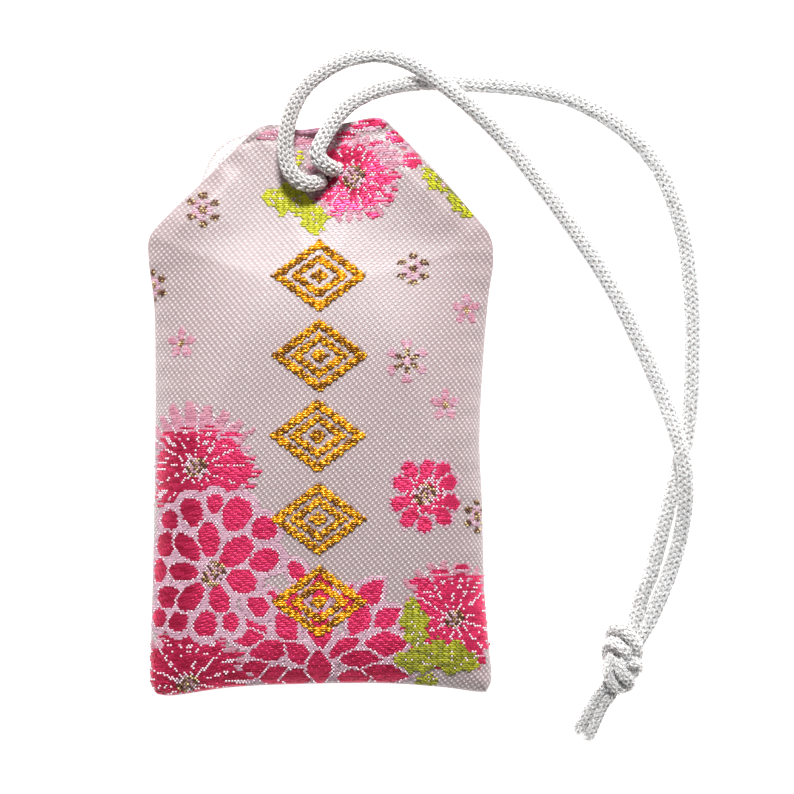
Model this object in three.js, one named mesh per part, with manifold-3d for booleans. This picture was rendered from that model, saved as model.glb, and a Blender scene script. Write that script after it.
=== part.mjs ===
// An omamori charm: a padded brocade pouch lying on its back, with a knitted cord threaded through a
// hole near its mouth and tied in one knot. Millimetres, +Z out of the front face, +Y towards the
// mouth, origin on the table under the middle of the pouch.
import * as THREE from 'three';
import { mergeVertices } from 'three/addons/utils/BufferGeometryUtils.js';
import Module from 'manifold-3d';

// Plan of the pouch
const POUCH_LENGTH = 75.4;
const SHOULDER_WIDTH = 45.5;
const WAIST_WIDTH = 42.2;
const FOOT_WIDTH = 44.8;
const FOOT_ARCH = 1.6;
const MOUTH_WIDTH = 17.5;
const MOUTH_SHIFT = 0.5;
const SHOULDER_DROP = 15.5;
const CORNER_ROUND = 3;

// How far in from an edge the pouch reaches its full thickness
const EDGE_ROUND = 6.5;
const MOUTH_TAPER = 18.5;

// Layers, and the play between two that lie on each other
const CLOTH = 0.7;
const LINING = 0.3;
const CARD = 0.8;
const PAPER = 0.3;
const SLIP = 0.7;
const WADDING = 1.2;
const CROWN = 0.5;
const FIT = 0.25;

// Height of the back's edge over the table along the sides
const SIDE_LIFT = 1.3;

// Side seams, and the corners folded in beside the mouth
const SEAM_THREAD = 0.6;
const SEAM_INSET = 0.4;
const TUCK = 0.6;
const TUCK_PEEK = 0.9;

// The packet inside
const SLIP_WIDTH = 22;
const SLIP_LENGTH = 40;
const CARD_CORNER = 3;
const PACKET_PLAY = 1;

// The cord and its hole
const CORD_DIAMETER = 2.1;
const HOLE_DROP = 7.4;
const HOLE_SHIFT = 1;
const STRAND_SPACING = 2.7;
const BRIDGE = 1.4;
const CORD_JOIN_HEIGHT = 5;
const CORD_JOIN_GAP = 0.3;

// The knot: where it starts and ends from the middle of the hole, and its winding
const KNOT_START = [40.9, -58.2];
const KNOT_END = [36.5, -67.3];
const KNOT_HEIGHT = 2.75;
const KNOT_STRAND_SPACING = 2.3;
const KNOT_TURNS = 4;
const KNOT_RADIUS = 1.7;
const KNOT_CORD = 1.95;
const KNOT_MARGIN = 1.1;

// Routes of the free cord from the middle of the hole, heights from the table
const LEFT_ROUTE = [
  [-0.95, -0.95, 5.4], [-0.9, -0.95, 6.9], [-1.5, -1.1, 8.1], [-2.9, -1.1, 8.7], [-4.3, -0.2, 8.8],
  [-5.2, 1.5, 8.6], [-5.45, 3.5, 8.3], [-5.3, 5.8, 8], [-4.8, 8, 7.4], [-3.9, 10, 6.7],
  [-2.6, 11.8, 6], [-0.6, 13.5, 5.2], [2.4, 15.1, 4.4], [6.1, 15.8, 3.8], [8.9, 15.4, 3.55],
  [11.9, 14.1, 3.5], [14.4, 12.4, 3.5], [16.9, 10.5, 3.15], [19.5, 8.3, 2.3], [22, 5.9, 1.5],
  [25, 2.6, 1.15], [28.5, -1.9, 1.15], [32, -6.7, 1.15], [35.5, -11.9, 1.15], [38.5, -17.1, 1.15],
  [41, -22.3, 1.2], [43, -26.9, 1.5], [44.5, -30.8, 2.3], [45.6, -34.2, 3.2], [46.4, -37.5, 3.5],
  [46.7, -40.6, 3.1], [46.6, -43.5, 2.3], [46.1, -46.8, 1.5], [45.2, -50.3, 1.2], [43.7, -54.6, 1.6],
];
const RIGHT_ROUTE = [
  [0.95, 0.95, 5.4], [0.9, 0.95, 6.8], [0.2, 1.2, 8], [-0.8, 1.8, 8.7], [-1.3, 2.8, 9],
  [-0.9, 4, 9], [-0.1, 5.5, 8.7], [1.1, 7.3, 8], [2.8, 9.2, 6.9], [5.3, 10.7, 5.1],
  [8.4, 11.8, 2.9], [11.2, 12.3, 1.6], [14.4, 12.4, 1.15], [18, 12.2, 1.15], [22, 12, 1.15],
  [27, 11.4, 1.15], [31.9, 10.1, 1.15], [36.9, 7.5, 1.15], [40.7, 4.4, 1.15], [43.3, 1, 1.15],
  [45, -2.7, 1.15], [46.4, -7.1, 1.15], [47.3, -12.8, 1.15], [47.7, -19.3, 1.15], [47.65, -25.3, 1.15],
  [47.4, -30.1, 1.15], [46.9, -33.9, 1.15], [46, -37.5, 1.15], [45.1, -41.2, 1.15], [44.1, -44.8, 1.15],
  [43.2, -48.4, 1.15], [42.1, -52.3, 1.2], [40.8, -55.5, 1.9],
];
const LEFT_TAIL_TIP = [32.7, -72.4, 1.15];
const RIGHT_TAIL_TIP = [34.5, -73.7, 1.15];

const cloth = new THREE.MeshStandardMaterial({ color: 0xd8c6c8, roughness: 0.75 });
const backing = new THREE.MeshStandardMaterial({ color: 0xe9e6df, roughness: 0.95 });
const thread = new THREE.MeshStandardMaterial({ color: 0xe4d9d6, roughness: 0.8 });
const padding = new THREE.MeshStandardMaterial({ color: 0xf3f1ec, roughness: 1 });
const card = new THREE.MeshStandardMaterial({ color: 0xcdbfa6, roughness: 0.9 });
const paper = new THREE.MeshStandardMaterial({ color: 0xf4efe2, roughness: 0.9 });
const wood = new THREE.MeshStandardMaterial({ color: 0xd9b98a, roughness: 0.7 });
const cord = new THREE.MeshStandardMaterial({ color: 0xe9e5e2, roughness: 0.65 });

const charm = new THREE.Group();
const wasm = await Module();
wasm.setup();

function addPart(name, geometry, material, group = charm) {
  const mesh = new THREE.Mesh(geometry, material);
  mesh.name = name;
  group.add(mesh);
}

function solidOf(geometry) {
  geometry.deleteAttribute('normal');
  geometry.deleteAttribute('uv');
  const merged = mergeVertices(geometry, 1e-4);
  return new wasm.Manifold(new wasm.Mesh({
    numProp: 3,
    vertProperties: Float32Array.from(merged.attributes.position.array),
    triVerts: Uint32Array.from(merged.index.array),
  }));
}

function geometryOf(solid) {
  const mesh = solid.getMesh();
  const geometry = new THREE.BufferGeometry();
  geometry.setAttribute('position', new THREE.BufferAttribute(mesh.vertProperties, 3));
  geometry.setIndex(new THREE.BufferAttribute(mesh.triVerts, 1));
  return geometry;
}

// Outline: six corners joined by sides that pull in at the waist and the foot, with round corners
const halfLength = POUCH_LENGTH / 2;
const shoulderY = halfLength - SHOULDER_DROP;
const corners = [
  new THREE.Vector2(-FOOT_WIDTH / 2, -halfLength),
  new THREE.Vector2(FOOT_WIDTH / 2, -halfLength),
  new THREE.Vector2(SHOULDER_WIDTH / 2, shoulderY),
  new THREE.Vector2(MOUTH_SHIFT + MOUTH_WIDTH / 2, halfLength),
  new THREE.Vector2(MOUTH_SHIFT - MOUTH_WIDTH / 2, halfLength),
  new THREE.Vector2(-SHOULDER_WIDTH / 2, shoulderY),
];
const SIDE_STEPS = [8, 9, 6, 4, 6, 9];
const CORNER_STEPS = 3;

function bowedSide(from, to, middle) {
  const pull = middle.clone().multiplyScalar(2).sub(from.clone().add(to).multiplyScalar(0.5));
  return new THREE.QuadraticBezierCurve(from, pull, to);
}

function pouchOutline() {
  const waistY = (shoulderY - halfLength) / 2;
  const middles = corners.map((from, i) => from.clone().add(corners[(i + 1) % 6]).multiplyScalar(0.5));
  middles[0].set(0, FOOT_ARCH - halfLength);
  middles[1].set(WAIST_WIDTH / 2, waistY);
  middles[5].set(-WAIST_WIDTH / 2, waistY);
  const sides = corners.map((from, i) => bowedSide(from, corners[(i + 1) % 6], middles[i]));
  const points = [];
  sides.forEach((side, i) => {
    const cut = CORNER_ROUND / side.getLength();
    for (let step = 0; step <= SIDE_STEPS[i]; step += 1) {
      points.push(side.getPoint(cut + (1 - 2 * cut) * step / SIDE_STEPS[i]));
    }
    const next = sides[(i + 1) % 6];
    const nextStart = next.getPoint(CORNER_ROUND / next.getLength());
    const bend = new THREE.QuadraticBezierCurve(side.getPoint(1 - cut), corners[(i + 1) % 6], nextStart);
    for (let step = 1; step < CORNER_STEPS; step += 1) {
      points.push(bend.getPoint(step / CORNER_STEPS));
    }
  });
  return points;
}

// The flat middle that the edges round down from
const flat = {
  halfWidth: WAIST_WIDTH / 2 - EDGE_ROUND,
  bottom: FOOT_ARCH + EDGE_ROUND - halfLength,
  top: halfLength - MOUTH_TAPER,
};
const flatMiddle = new THREE.Vector2(0, (flat.bottom + flat.top) / 2);

// One station of the outline: its edge, the point of the flat middle that it faces, and how far
// along the slope from shoulder to mouth it lies
const stations = pouchOutline().map((edge) => ({
  edge,
  core: new THREE.Vector2(
    THREE.MathUtils.clamp(edge.x, -flat.halfWidth, flat.halfWidth),
    THREE.MathUtils.clamp(edge.y, flat.bottom, flat.top),
  ),
  mouth: THREE.MathUtils.clamp((edge.y - shoulderY) / SHOULDER_DROP, 0, 1),
}));

// Heights of the back and front surfaces at shares of the way from the edge to the flat middle, and
// how steeply each leaves the edge
const SHARES = [0, 0.12, 0.28, 0.45, 0.65, 0.9];
const BACK_SIDE_POWER = 2;
const BACK_MOUTH_POWER = 4;
const FRONT_SIDE_POWER = 2.2;
const FRONT_MOUTH_POWER = 2;
const seamGap = Math.max(TUCK, SEAM_THREAD) + 2 * FIT;
const mouthLift = CORD_DIAMETER + 3 * FIT;
const cardBottom = CLOTH + LINING + 2 * FIT;
const wrapperBottom = cardBottom + CARD + FIT;
const wrapperHeight = 2 * PAPER + 2 * FIT + SLIP;
const waddingBottom = wrapperBottom + wrapperHeight + FIT;
const frontLiningBottom = waddingBottom + WADDING + FIT;
const frontFlat = frontLiningBottom + LINING + FIT + CLOTH;

function backHeight(station, share) {
  const slope = Math.min(share / SHARES.at(-1), 1);
  const edgeHeight = THREE.MathUtils.lerp(SIDE_LIFT, mouthLift, station.mouth);
  const drop = THREE.MathUtils.lerp(
    1 - (1 - slope) ** BACK_SIDE_POWER, slope ** BACK_MOUTH_POWER, station.mouth);
  return edgeHeight * (1 - drop);
}

function seamHeight(station) {
  return backHeight(station, 0) + CLOTH + seamGap / 2;
}

function frontHeight(station, share) {
  const slope = Math.min(share / SHARES.at(-1), 1);
  const edgeHeight = seamHeight(station) + seamGap / 2 + CLOTH;
  const rise = THREE.MathUtils.lerp(
    1 - (1 - slope) ** FRONT_SIDE_POWER, 1 - (1 - slope) ** FRONT_MOUTH_POWER, station.mouth);
  return THREE.MathUtils.lerp(edgeHeight, frontFlat, rise);
}

// A closed layer between an upper and a lower surface, from startShare in to the middle
function layerGeometry(startShare, upper, lower) {
  const shares = [startShare, ...SHARES.filter((share) => share > startShare + 0.02)];
  const count = stations.length;
  const positions = [];
  for (const surface of [upper, lower]) {
    for (const share of shares) {
      for (const station of stations) {
        const place = station.edge.clone().lerp(station.core, share);
        positions.push(place.x, place.y, surface.height(station, share));
      }
    }
    positions.push(flatMiddle.x, flatMiddle.y, surface.height(stations[0], 1) + surface.crown);
  }
  const lowerStart = shares.length * count + 1;
  const index = [];
  for (let i = 0; i < count; i += 1) {
    const next = (i + 1) % count;
    for (let r = 0; r < shares.length - 1; r += 1) {
      const a = r * count + i;
      const b = r * count + next;
      index.push(a, b, b + count, a, b + count, a + count);
      const c = a + lowerStart;
      const d = b + lowerStart;
      index.push(c, d + count, d, c, c + count, d + count);
    }
    const last = (shares.length - 1) * count;
    index.push(last + i, last + next, last + count);
    index.push(lowerStart + last + i, lowerStart + last + count, lowerStart + last + next);
    index.push(i, lowerStart + i, lowerStart + next, i, lowerStart + next, next);
  }
  const geometry = new THREE.BufferGeometry();
  geometry.setAttribute('position', new THREE.Float32BufferAttribute(positions, 3));
  geometry.setIndex(index);
  return geometry;
}

const frontAt = (depth) => ({
  height: (station, share) => frontHeight(station, share) - depth,
  crown: CROWN,
});
const backAt = (depth) => ({
  height: (station, share) => backHeight(station, share) + depth,
  crown: 0,
});
const levelAt = (height) => ({ height: () => height, crown: 0 });

// The cord's hole, and the slanting line on which its two strands lie
const cordRadius = CORD_DIAMETER / 2;
const hole = new THREE.Vector2(HOLE_SHIFT, halfLength - HOLE_DROP);
const holeLine = new THREE.Vector2(1, 1).normalize();
const frontHoleRadius = STRAND_SPACING / 2 + cordRadius + 2 * FIT;
const backHoleRadius = cordRadius + 2 * FIT;
const backHoleOffset = BRIDGE / 2 + backHoleRadius;
const HOLE_SIDES = 20;

function drilled(geometry, holes) {
  let solid = solidOf(geometry);
  for (const { offset, radius } of holes) {
    const drill = new THREE.CylinderGeometry(radius, radius, 4 * frontFlat, HOLE_SIDES);
    drill.rotateX(Math.PI / 2);
    drill.translate(hole.x + offset * holeLine.x, hole.y + offset * holeLine.y, 0);
    solid = solid.subtract(solidOf(drill));
  }
  return geometryOf(solid);
}

const frontPanel = layerGeometry(0, frontAt(0), frontAt(CLOTH));
addPart('front_panel', drilled(frontPanel, [{ offset: 0, radius: frontHoleRadius }]), cloth);

const backPanel = layerGeometry(0, backAt(CLOTH), backAt(0));
addPart('back_panel', drilled(backPanel, [
  { offset: -backHoleOffset, radius: backHoleRadius },
  { offset: backHoleOffset, radius: backHoleRadius },
]), cloth);

// The linings stop short of the seams and are cut back round the cord
const LINING_START = 0.45;
const liningCut = backHoleOffset + backHoleRadius;
const frontLining = layerGeometry(
  LINING_START, frontAt(CLOTH + FIT), frontAt(CLOTH + FIT + LINING));
addPart('front_lining', drilled(frontLining, [{ offset: 0, radius: liningCut }]), backing);
const backLining = layerGeometry(
  LINING_START, backAt(CLOTH + FIT + LINING), backAt(CLOTH + FIT));
addPart('back_lining', drilled(backLining, [{ offset: 0, radius: liningCut }]), backing);

const WADDING_START = 0.8;
const waddingTop = frontAt(CLOTH + LINING + 2 * FIT);
addPart('wadding_pad', layerGeometry(WADDING_START, waddingTop, levelAt(waddingBottom)), padding);

// The packet: a card, and a slip in its folded paper, lying on it
function plate(width, length, thickness, corner) {
  const shape = new THREE.Shape();
  const x = width / 2 - corner;
  const y = length / 2 - corner;
  shape.absarc(x, y, corner, 0, Math.PI / 2);
  shape.absarc(-x, y, corner, Math.PI / 2, Math.PI);
  shape.absarc(-x, -y, corner, Math.PI, 1.5 * Math.PI);
  shape.absarc(x, -y, corner, 1.5 * Math.PI, 2 * Math.PI);
  return new THREE.ExtrudeGeometry(shape, { depth: thickness, bevelEnabled: false, curveSegments: 4 });
}

const cardLength = flat.top - flat.bottom - 2 * PACKET_PLAY;
const cardGeometry = plate(2 * flat.halfWidth, cardLength, CARD, CARD_CORNER);
addPart('card_stiffener', cardGeometry.translate(flatMiddle.x, flatMiddle.y, cardBottom), card);

const slipHeight = wrapperBottom + PAPER + FIT;
const slipGeometry = new THREE.BoxGeometry(SLIP_WIDTH, SLIP_LENGTH, SLIP);
addPart('prayer_slip', slipGeometry.translate(flatMiddle.x, flatMiddle.y, slipHeight + SLIP / 2), wood);

function rectangle(path, halfWidth, bottom, top) {
  path.moveTo(-halfWidth, bottom);
  path.lineTo(halfWidth, bottom);
  path.lineTo(halfWidth, top);
  path.lineTo(-halfWidth, top);
  path.closePath();
  return path;
}

const sleeveSection = rectangle(
  new THREE.Shape(), SLIP_WIDTH / 2 + FIT + PAPER, wrapperBottom, wrapperBottom + wrapperHeight);
sleeveSection.holes.push(rectangle(
  new THREE.Path(), SLIP_WIDTH / 2 + FIT, wrapperBottom + PAPER, wrapperBottom + wrapperHeight - PAPER));
const sleeve = new THREE.ExtrudeGeometry(sleeveSection, { depth: SLIP_LENGTH, bevelEnabled: false });
sleeve.rotateX(Math.PI / 2);
addPart('slip_wrapper', sleeve.translate(flatMiddle.x, flatMiddle.y + SLIP_LENGTH / 2, 0), paper);

// A round tube along points, closed at both ends
function tube(points, diameter, steps, sides) {
  const section = new THREE.Shape();
  for (let i = 0; i < sides; i += 1) {
    const angle = (i / sides) * 2 * Math.PI;
    const x = Math.cos(angle) * diameter / 2;
    const y = Math.sin(angle) * diameter / 2;
    if (i === 0) section.moveTo(x, y);
    else section.lineTo(x, y);
  }
  section.closePath();
  const path = new THREE.CatmullRomCurve3(points, false, 'centripetal');
  return new THREE.ExtrudeGeometry(section, { steps, extrudePath: path, bevelEnabled: false });
}

// Seams: a line of thread between the two panels, along each side and the foot
function seamPoints(from, to) {
  return stations.slice(from, to + 1).map((station) => {
    const inward = station.core.clone().sub(station.edge).setLength(SEAM_INSET + SEAM_THREAD / 2);
    const place = station.edge.clone().add(inward);
    return new THREE.Vector3(place.x, place.y, seamHeight(station));
  });
}

const sideStart = SIDE_STEPS.map((steps, i) => (
  SIDE_STEPS.slice(0, i).reduce((sum, value) => sum + value, 0) + i * CORNER_STEPS));
const SEAM_SIDES = 6;
[['bottom_seam', 0], ['right_side_seam', 1], ['left_side_seam', 5]].forEach(([name, side]) => {
  const points = seamPoints(sideStart[side], sideStart[side] + SIDE_STEPS[side]);
  addPart(name, tube(points, SEAM_THREAD, 2 * SIDE_STEPS[side], SEAM_SIDES), thread);
});

// Tucked corners: the folded edge beside the mouth, lying between the panels and peeking out
const TUCK_DEPTH_SHARE = 0.3;

function tuckGeometry(from, to) {
  const rows = stations.slice(from, to + 1);
  const positions = [];
  rows.forEach((station, i) => {
    const peek = TUCK_PEEK * Math.sin(Math.PI * i / (rows.length - 1));
    const outward = station.edge.clone().sub(station.core).setLength(peek + FIT);
    const outer = station.edge.clone().add(outward);
    const inner = station.edge.clone().lerp(station.core, TUCK_DEPTH_SHARE);
    const top = seamHeight(station) + TUCK / 2;
    const bottom = top - TUCK;
    for (const [place, height] of [[outer, top], [inner, top], [inner, bottom], [outer, bottom]]) {
      positions.push(place.x, place.y, height);
    }
  });
  const index = [];
  for (let row = 0; row < rows.length - 1; row += 1) {
    for (let side = 0; side < 4; side += 1) {
      const a = 4 * row + side;
      const b = 4 * row + (side + 1) % 4;
      index.push(a, a + 4, b + 4, a, b + 4, b);
    }
  }
  const end = 4 * (rows.length - 1);
  index.push(0, 1, 2, 0, 2, 3, end, end + 2, end + 1, end, end + 3, end + 2);
  const geometry = new THREE.BufferGeometry();
  geometry.setAttribute('position', new THREE.Float32BufferAttribute(positions, 3));
  geometry.setIndex(index);
  return geometry;
}

[['right_corner_tuck', 2], ['left_corner_tuck', 4]].forEach(([name, side]) => {
  addPart(name, tuckGeometry(sideStart[side], sideStart[side] + SIDE_STEPS[side]), cloth);
});

// Cord: everything on it is placed from the middle of the hole
const cordGroup = new THREE.Group();
cordGroup.position.set(hole.x, hole.y, 0);
charm.add(cordGroup);
const CORD_SIDES = 8;

// The bight: down through the front hole, out of the back, across the bridge of cloth and up again
const bightHalf = [
  [STRAND_SPACING / 2, CORD_JOIN_HEIGHT - CORD_JOIN_GAP],
  [STRAND_SPACING / 2, CORD_JOIN_HEIGHT - 3 * CORD_JOIN_GAP],
  [backHoleOffset - FIT, mouthLift + CLOTH],
  [backHoleOffset + FIT / 2, mouthLift - cordRadius / 2],
  [backHoleOffset - FIT, cordRadius + 2 * FIT],
  [backHoleOffset / 2, cordRadius + FIT / 4],
];
const bightSide = (sign) => bightHalf.map(([reach, height]) => (
  new THREE.Vector3(sign * reach * holeLine.x, sign * reach * holeLine.y, height)));
const bightPoints = [...bightSide(-1), ...bightSide(1).reverse()];
const BIGHT_STEPS = 16;
addPart('cord_bight', tube(bightPoints, CORD_DIAMETER, BIGHT_STEPS, CORD_SIDES), cord, cordGroup);

// The knot lies along a line: strands enter at its start, tails leave at its end
const knotStart = new THREE.Vector3(...KNOT_START, KNOT_HEIGHT);
const knotEnd = new THREE.Vector3(...KNOT_END, KNOT_HEIGHT);
const knotAlong = knotEnd.clone().sub(knotStart).normalize();
const knotAcross = new THREE.Vector3(-knotAlong.y, knotAlong.x, 0);
const knotLength = knotStart.distanceTo(knotEnd);

function knotPoint(along, across, up) {
  const point = knotStart.clone().addScaledVector(knotAlong, along).addScaledVector(knotAcross, across);
  point.z += up;
  return point;
}

const strandSide = { left: KNOT_STRAND_SPACING / 2, right: -KNOT_STRAND_SPACING / 2 };
const windingTurns = KNOT_TURNS * 2 * Math.PI;
const WINDING_STEPS = 12;
const windingPoints = [];
for (let i = 0; i <= KNOT_TURNS * WINDING_STEPS; i += 1) {
  const share = i / (KNOT_TURNS * WINDING_STEPS);
  const angle = share * windingTurns - Math.PI / 2;
  const along = KNOT_MARGIN + share * (knotLength - 2 * KNOT_MARGIN);
  windingPoints.push(knotPoint(along, -KNOT_RADIUS * Math.cos(angle), KNOT_RADIUS * Math.sin(angle)));
}
let knot = solidOf(tube(windingPoints, KNOT_CORD, KNOT_TURNS * WINDING_STEPS, CORD_SIDES));
for (const side of Object.values(strandSide)) {
  const core = [knotPoint(0, side, 0), knotPoint(knotLength, side, 0)];
  knot = knot.add(solidOf(tube(core, CORD_DIAMETER, 1, CORD_SIDES)));
}
addPart('cord_knot', geometryOf(knot), cord, cordGroup);

const STRAND_STEPS = 34;
[['left_strand', LEFT_ROUTE, strandSide.left], ['right_strand', RIGHT_ROUTE, strandSide.right]]
  .forEach(([name, route, side]) => {
    const points = route.map((point) => new THREE.Vector3(...point));
    points.push(knotPoint(-CORD_JOIN_GAP, side, 0));
    addPart(name, tube(points, CORD_DIAMETER, STRAND_STEPS, CORD_SIDES), cord, cordGroup);
  });

const TAIL_STEPS = 4;
[['left_tail', LEFT_TAIL_TIP, strandSide.right], ['right_tail', RIGHT_TAIL_TIP, strandSide.left]]
  .forEach(([name, tip, side]) => {
    const points = [
      knotPoint(knotLength + CORD_JOIN_GAP, side, 0),
      knotPoint(knotLength + cordRadius, side, 0),
      new THREE.Vector3(...tip),
    ];
    addPart(name, tube(points, CORD_DIAMETER, TAIL_STEPS, CORD_SIDES), cord, cordGroup);
  });

export default charm;
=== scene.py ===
import math

import bmesh
import bpy
import numpy as np
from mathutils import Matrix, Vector
from mathutils.bvhtree import BVHTree
from mathutils.kdtree import KDTree


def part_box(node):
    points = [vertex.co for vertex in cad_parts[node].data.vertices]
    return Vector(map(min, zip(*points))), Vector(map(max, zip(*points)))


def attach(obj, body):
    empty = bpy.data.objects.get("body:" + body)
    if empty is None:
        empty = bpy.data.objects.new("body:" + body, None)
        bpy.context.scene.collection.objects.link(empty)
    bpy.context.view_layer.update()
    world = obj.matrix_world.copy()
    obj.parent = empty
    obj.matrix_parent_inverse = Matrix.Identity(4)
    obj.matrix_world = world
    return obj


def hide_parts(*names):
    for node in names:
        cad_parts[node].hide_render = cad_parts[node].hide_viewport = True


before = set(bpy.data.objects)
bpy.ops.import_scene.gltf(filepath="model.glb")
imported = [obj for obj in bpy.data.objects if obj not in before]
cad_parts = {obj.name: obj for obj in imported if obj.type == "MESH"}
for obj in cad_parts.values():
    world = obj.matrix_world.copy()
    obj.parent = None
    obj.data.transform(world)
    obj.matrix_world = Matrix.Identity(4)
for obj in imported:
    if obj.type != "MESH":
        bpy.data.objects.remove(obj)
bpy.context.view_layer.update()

# The studio: a white table under a sky that is brightest low down, with one soft lamp past the mouth, and a
# camera that looks straight down on it, so that the picture takes in 103.6 mm of the table.
MM = 0.001
PICTURE_WIDTH = 103.6
PICTURE_MIDDLE = (9.98, 1.5, 3.5)
LENS = 200
SENSOR = 36

camera_data = bpy.data.cameras.new("camera")
camera_data.lens = LENS
camera_data.sensor_width = SENSOR
camera = bpy.data.objects.new("camera", camera_data)
camera.location = Vector(PICTURE_MIDDLE) * MM + Vector((0, 0, PICTURE_WIDTH * LENS / SENSOR * MM))
bpy.context.scene.collection.objects.link(camera)
bpy.context.scene.camera = camera
bpy.context.scene.view_settings.view_transform = "Standard"

LAMP_PLACE = Vector((20, 410, 460)) * MM
LAMP_SIZE = 130 * MM
LAMP_POWER = 6.2
lamp_data = bpy.data.lights.new("lamp", "AREA")
lamp_data.size = LAMP_SIZE
lamp_data.energy = LAMP_POWER
lamp = bpy.data.objects.new("lamp", lamp_data)
lamp.location = LAMP_PLACE
lamp.rotation_euler = (-LAMP_PLACE).to_track_quat("-Z", "Y").to_euler()
bpy.context.scene.collection.objects.link(lamp)


class Value:
    """A shader socket. Operators on it add Math nodes, and node() adds a node of any other type."""

    def __init__(self, tree, socket=None):
        self.tree = tree
        self.socket = socket

    def node(self, kind, settings=(), inputs=(), output=0):
        made = self.tree.nodes.new(kind)
        for name, setting in dict(settings).items():
            setattr(made, name, setting)
        for name, value in dict(inputs).items():
            if isinstance(value, Value):
                self.tree.links.new(value.socket, made.inputs[name])
            else:
                made.inputs[name].default_value = value
        return Value(self.tree, made.outputs[output])

    def maths(self, operation, first, second):
        return self.node("ShaderNodeMath", {"operation": operation}, {0: first, 1: second})

    def __add__(self, other):
        return self.maths("ADD", self, other)

    def __sub__(self, other):
        return self.maths("SUBTRACT", self, other)

    def __rsub__(self, other):
        return self.maths("SUBTRACT", other, self)

    def __mul__(self, other):
        return self.maths("MULTIPLY", self, other)

    __radd__ = __add__
    __rmul__ = __mul__

    def mixed(self, first, second):
        """The colour from first at 0 to second at 1."""
        return self.node("ShaderNodeMix", {"data_type": "RGBA"}, {0: self, 6: first, 7: second}, 2)

    def bumped(self, strength, depth):
        """A normal with this value as its height in metres times depth."""
        return self.node("ShaderNodeBump", (), {"Height": self, "Strength": strength, "Distance": depth})


SKY_ZENITH = 0.1
SKY_HORIZON = 0.85
SKY_COLOUR = (1, 0.985, 0.975, 1)
sky = bpy.data.worlds.new("sky")
sky.use_nodes = True
upward = Value(sky.node_tree).node("ShaderNodeTexCoord")
upward = upward.node("ShaderNodeSeparateXYZ", (), {0: upward}, 2)
low = 1 - upward.maths("MAXIMUM", upward, 0)
brightness = SKY_ZENITH + (SKY_HORIZON - SKY_ZENITH) * low * low
backdrop = sky.node_tree.nodes["Background"]
backdrop.inputs["Color"].default_value = SKY_COLOUR
sky.node_tree.links.new(brightness.socket, backdrop.inputs["Strength"])
bpy.context.scene.world = sky


def rgb(red, green, blue):
    """The linear colour of 8-bit display values."""
    return tuple(((c / 255 + 0.055) / 1.055) ** 2.4 for c in (red, green, blue)) + (1,)


def finish(name, looks, **constants):
    """A material: constants on the shader's own sockets, and what looks() makes linked to the others."""
    material = bpy.data.materials.new(name)
    material.use_nodes = True
    tree = material.node_tree
    surface = tree.nodes["Principled BSDF"]
    for socket, value in constants.items():
        surface.inputs[socket.replace("_", " ")].default_value = value
    for socket, value in looks(Value(tree)).items():
        tree.links.new(value.socket, surface.inputs[socket])
    return material


def noise(value, scale, detail=2):
    """Even noise in object space, with features of about 1 / scale."""
    place = value.node("ShaderNodeTexCoord", output=3)
    return value.node("ShaderNodeTexNoise", (), {"Vector": place, "Scale": scale, "Detail": detail})


def attribute(value, name, output=2):
    return value.node("ShaderNodeAttribute", {"attribute_name": name}, (), output)


def make_object(name, mesh, material=None):
    """A smooth object of a mesh."""
    mesh.shade_smooth()
    if material:
        mesh.materials.append(material)
    made = bpy.data.objects.new(name, mesh)
    bpy.context.scene.collection.objects.link(made)
    return made


def make_piece(name, vertices, faces, material=None):
    """A smooth mesh object from points in millimetres."""
    mesh = bpy.data.meshes.new(name)
    mesh.from_pydata((np.asarray(vertices, float) * MM).tolist(), [], faces)
    return make_object(name, mesh, material)


TABLE_REACH = 3000
TABLE_DROP = 0.05
TABLE_GLOW = 0.9
TABLE_SPECKS = 300
TABLE_COLOURS = ((0.86, 0.855, 0.85, 1), (0.9, 0.895, 0.89, 1))


def table_looks(value):
    return {"Base Color": noise(value, TABLE_SPECKS).mixed(*TABLE_COLOURS)}


table_finish = finish(
    "white_table", table_looks, Roughness=0.9, Emission_Color=(1, 1, 1, 1), Emission_Strength=TABLE_GLOW)
table_corners = [(x, y, -TABLE_DROP) for x, y in ((-1, -1), (1, -1), (1, 1), (-1, 1))]
table_corners = np.array(table_corners) * (TABLE_REACH, TABLE_REACH, 1)
make_piece("table", table_corners, [(0, 1, 2, 3)], table_finish)

# The packet: a buff card that keeps the pouch flat, and on it a planed cedar slip in folded paper. They lie
# loose in the pouch, so the nodes keep their own shapes here and get their finish.
GRAIN = (2600, 90, 2600)


def fibrous(scale, detail, dark, light, strength, depth, shade=None):
    """Looks for a face of fibres, which give it a relief, depth in metres, and its colour from dark to light.
    Shade adds the tone that each thread or stitch has of its own."""
    def looks(value):
        fibre = noise(value, scale, detail)
        mix = shade(attribute(value, "tone"), fibre) if shade else fibre
        return {"Base Color": mix.mixed(rgb(*dark), rgb(*light)), "Normal": fibre.bumped(strength, depth)}
    return looks


def slip_looks(value):
    place = value.node("ShaderNodeTexCoord", output=3)
    stretched = value.node("ShaderNodeMapping", (), {"Vector": place, "Scale": GRAIN})
    grain = value.node("ShaderNodeTexNoise", (), {"Vector": stretched, "Scale": 1, "Detail": 4})
    return {
        "Base Color": grain.mixed(rgb(196, 150, 98), rgb(232, 198, 150)),
        "Normal": grain.bumped(0.25, 0.00005),
    }


PACKET = {
    "card_stiffener": fibrous(2500, 4, (188, 172, 146), (214, 200, 176), 0.3, 0.00008),
    "prayer_slip": slip_looks,
    "slip_wrapper": fibrous(900, 5, (232, 224, 206), (248, 243, 231), 0.4, 0.0001),
}
for node, looks in PACKET.items():
    packet_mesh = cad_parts[node].data
    packet_mesh.materials.clear()
    packet_mesh.materials.append(finish(node + "_finish", looks, Roughness=0.85))

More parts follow.
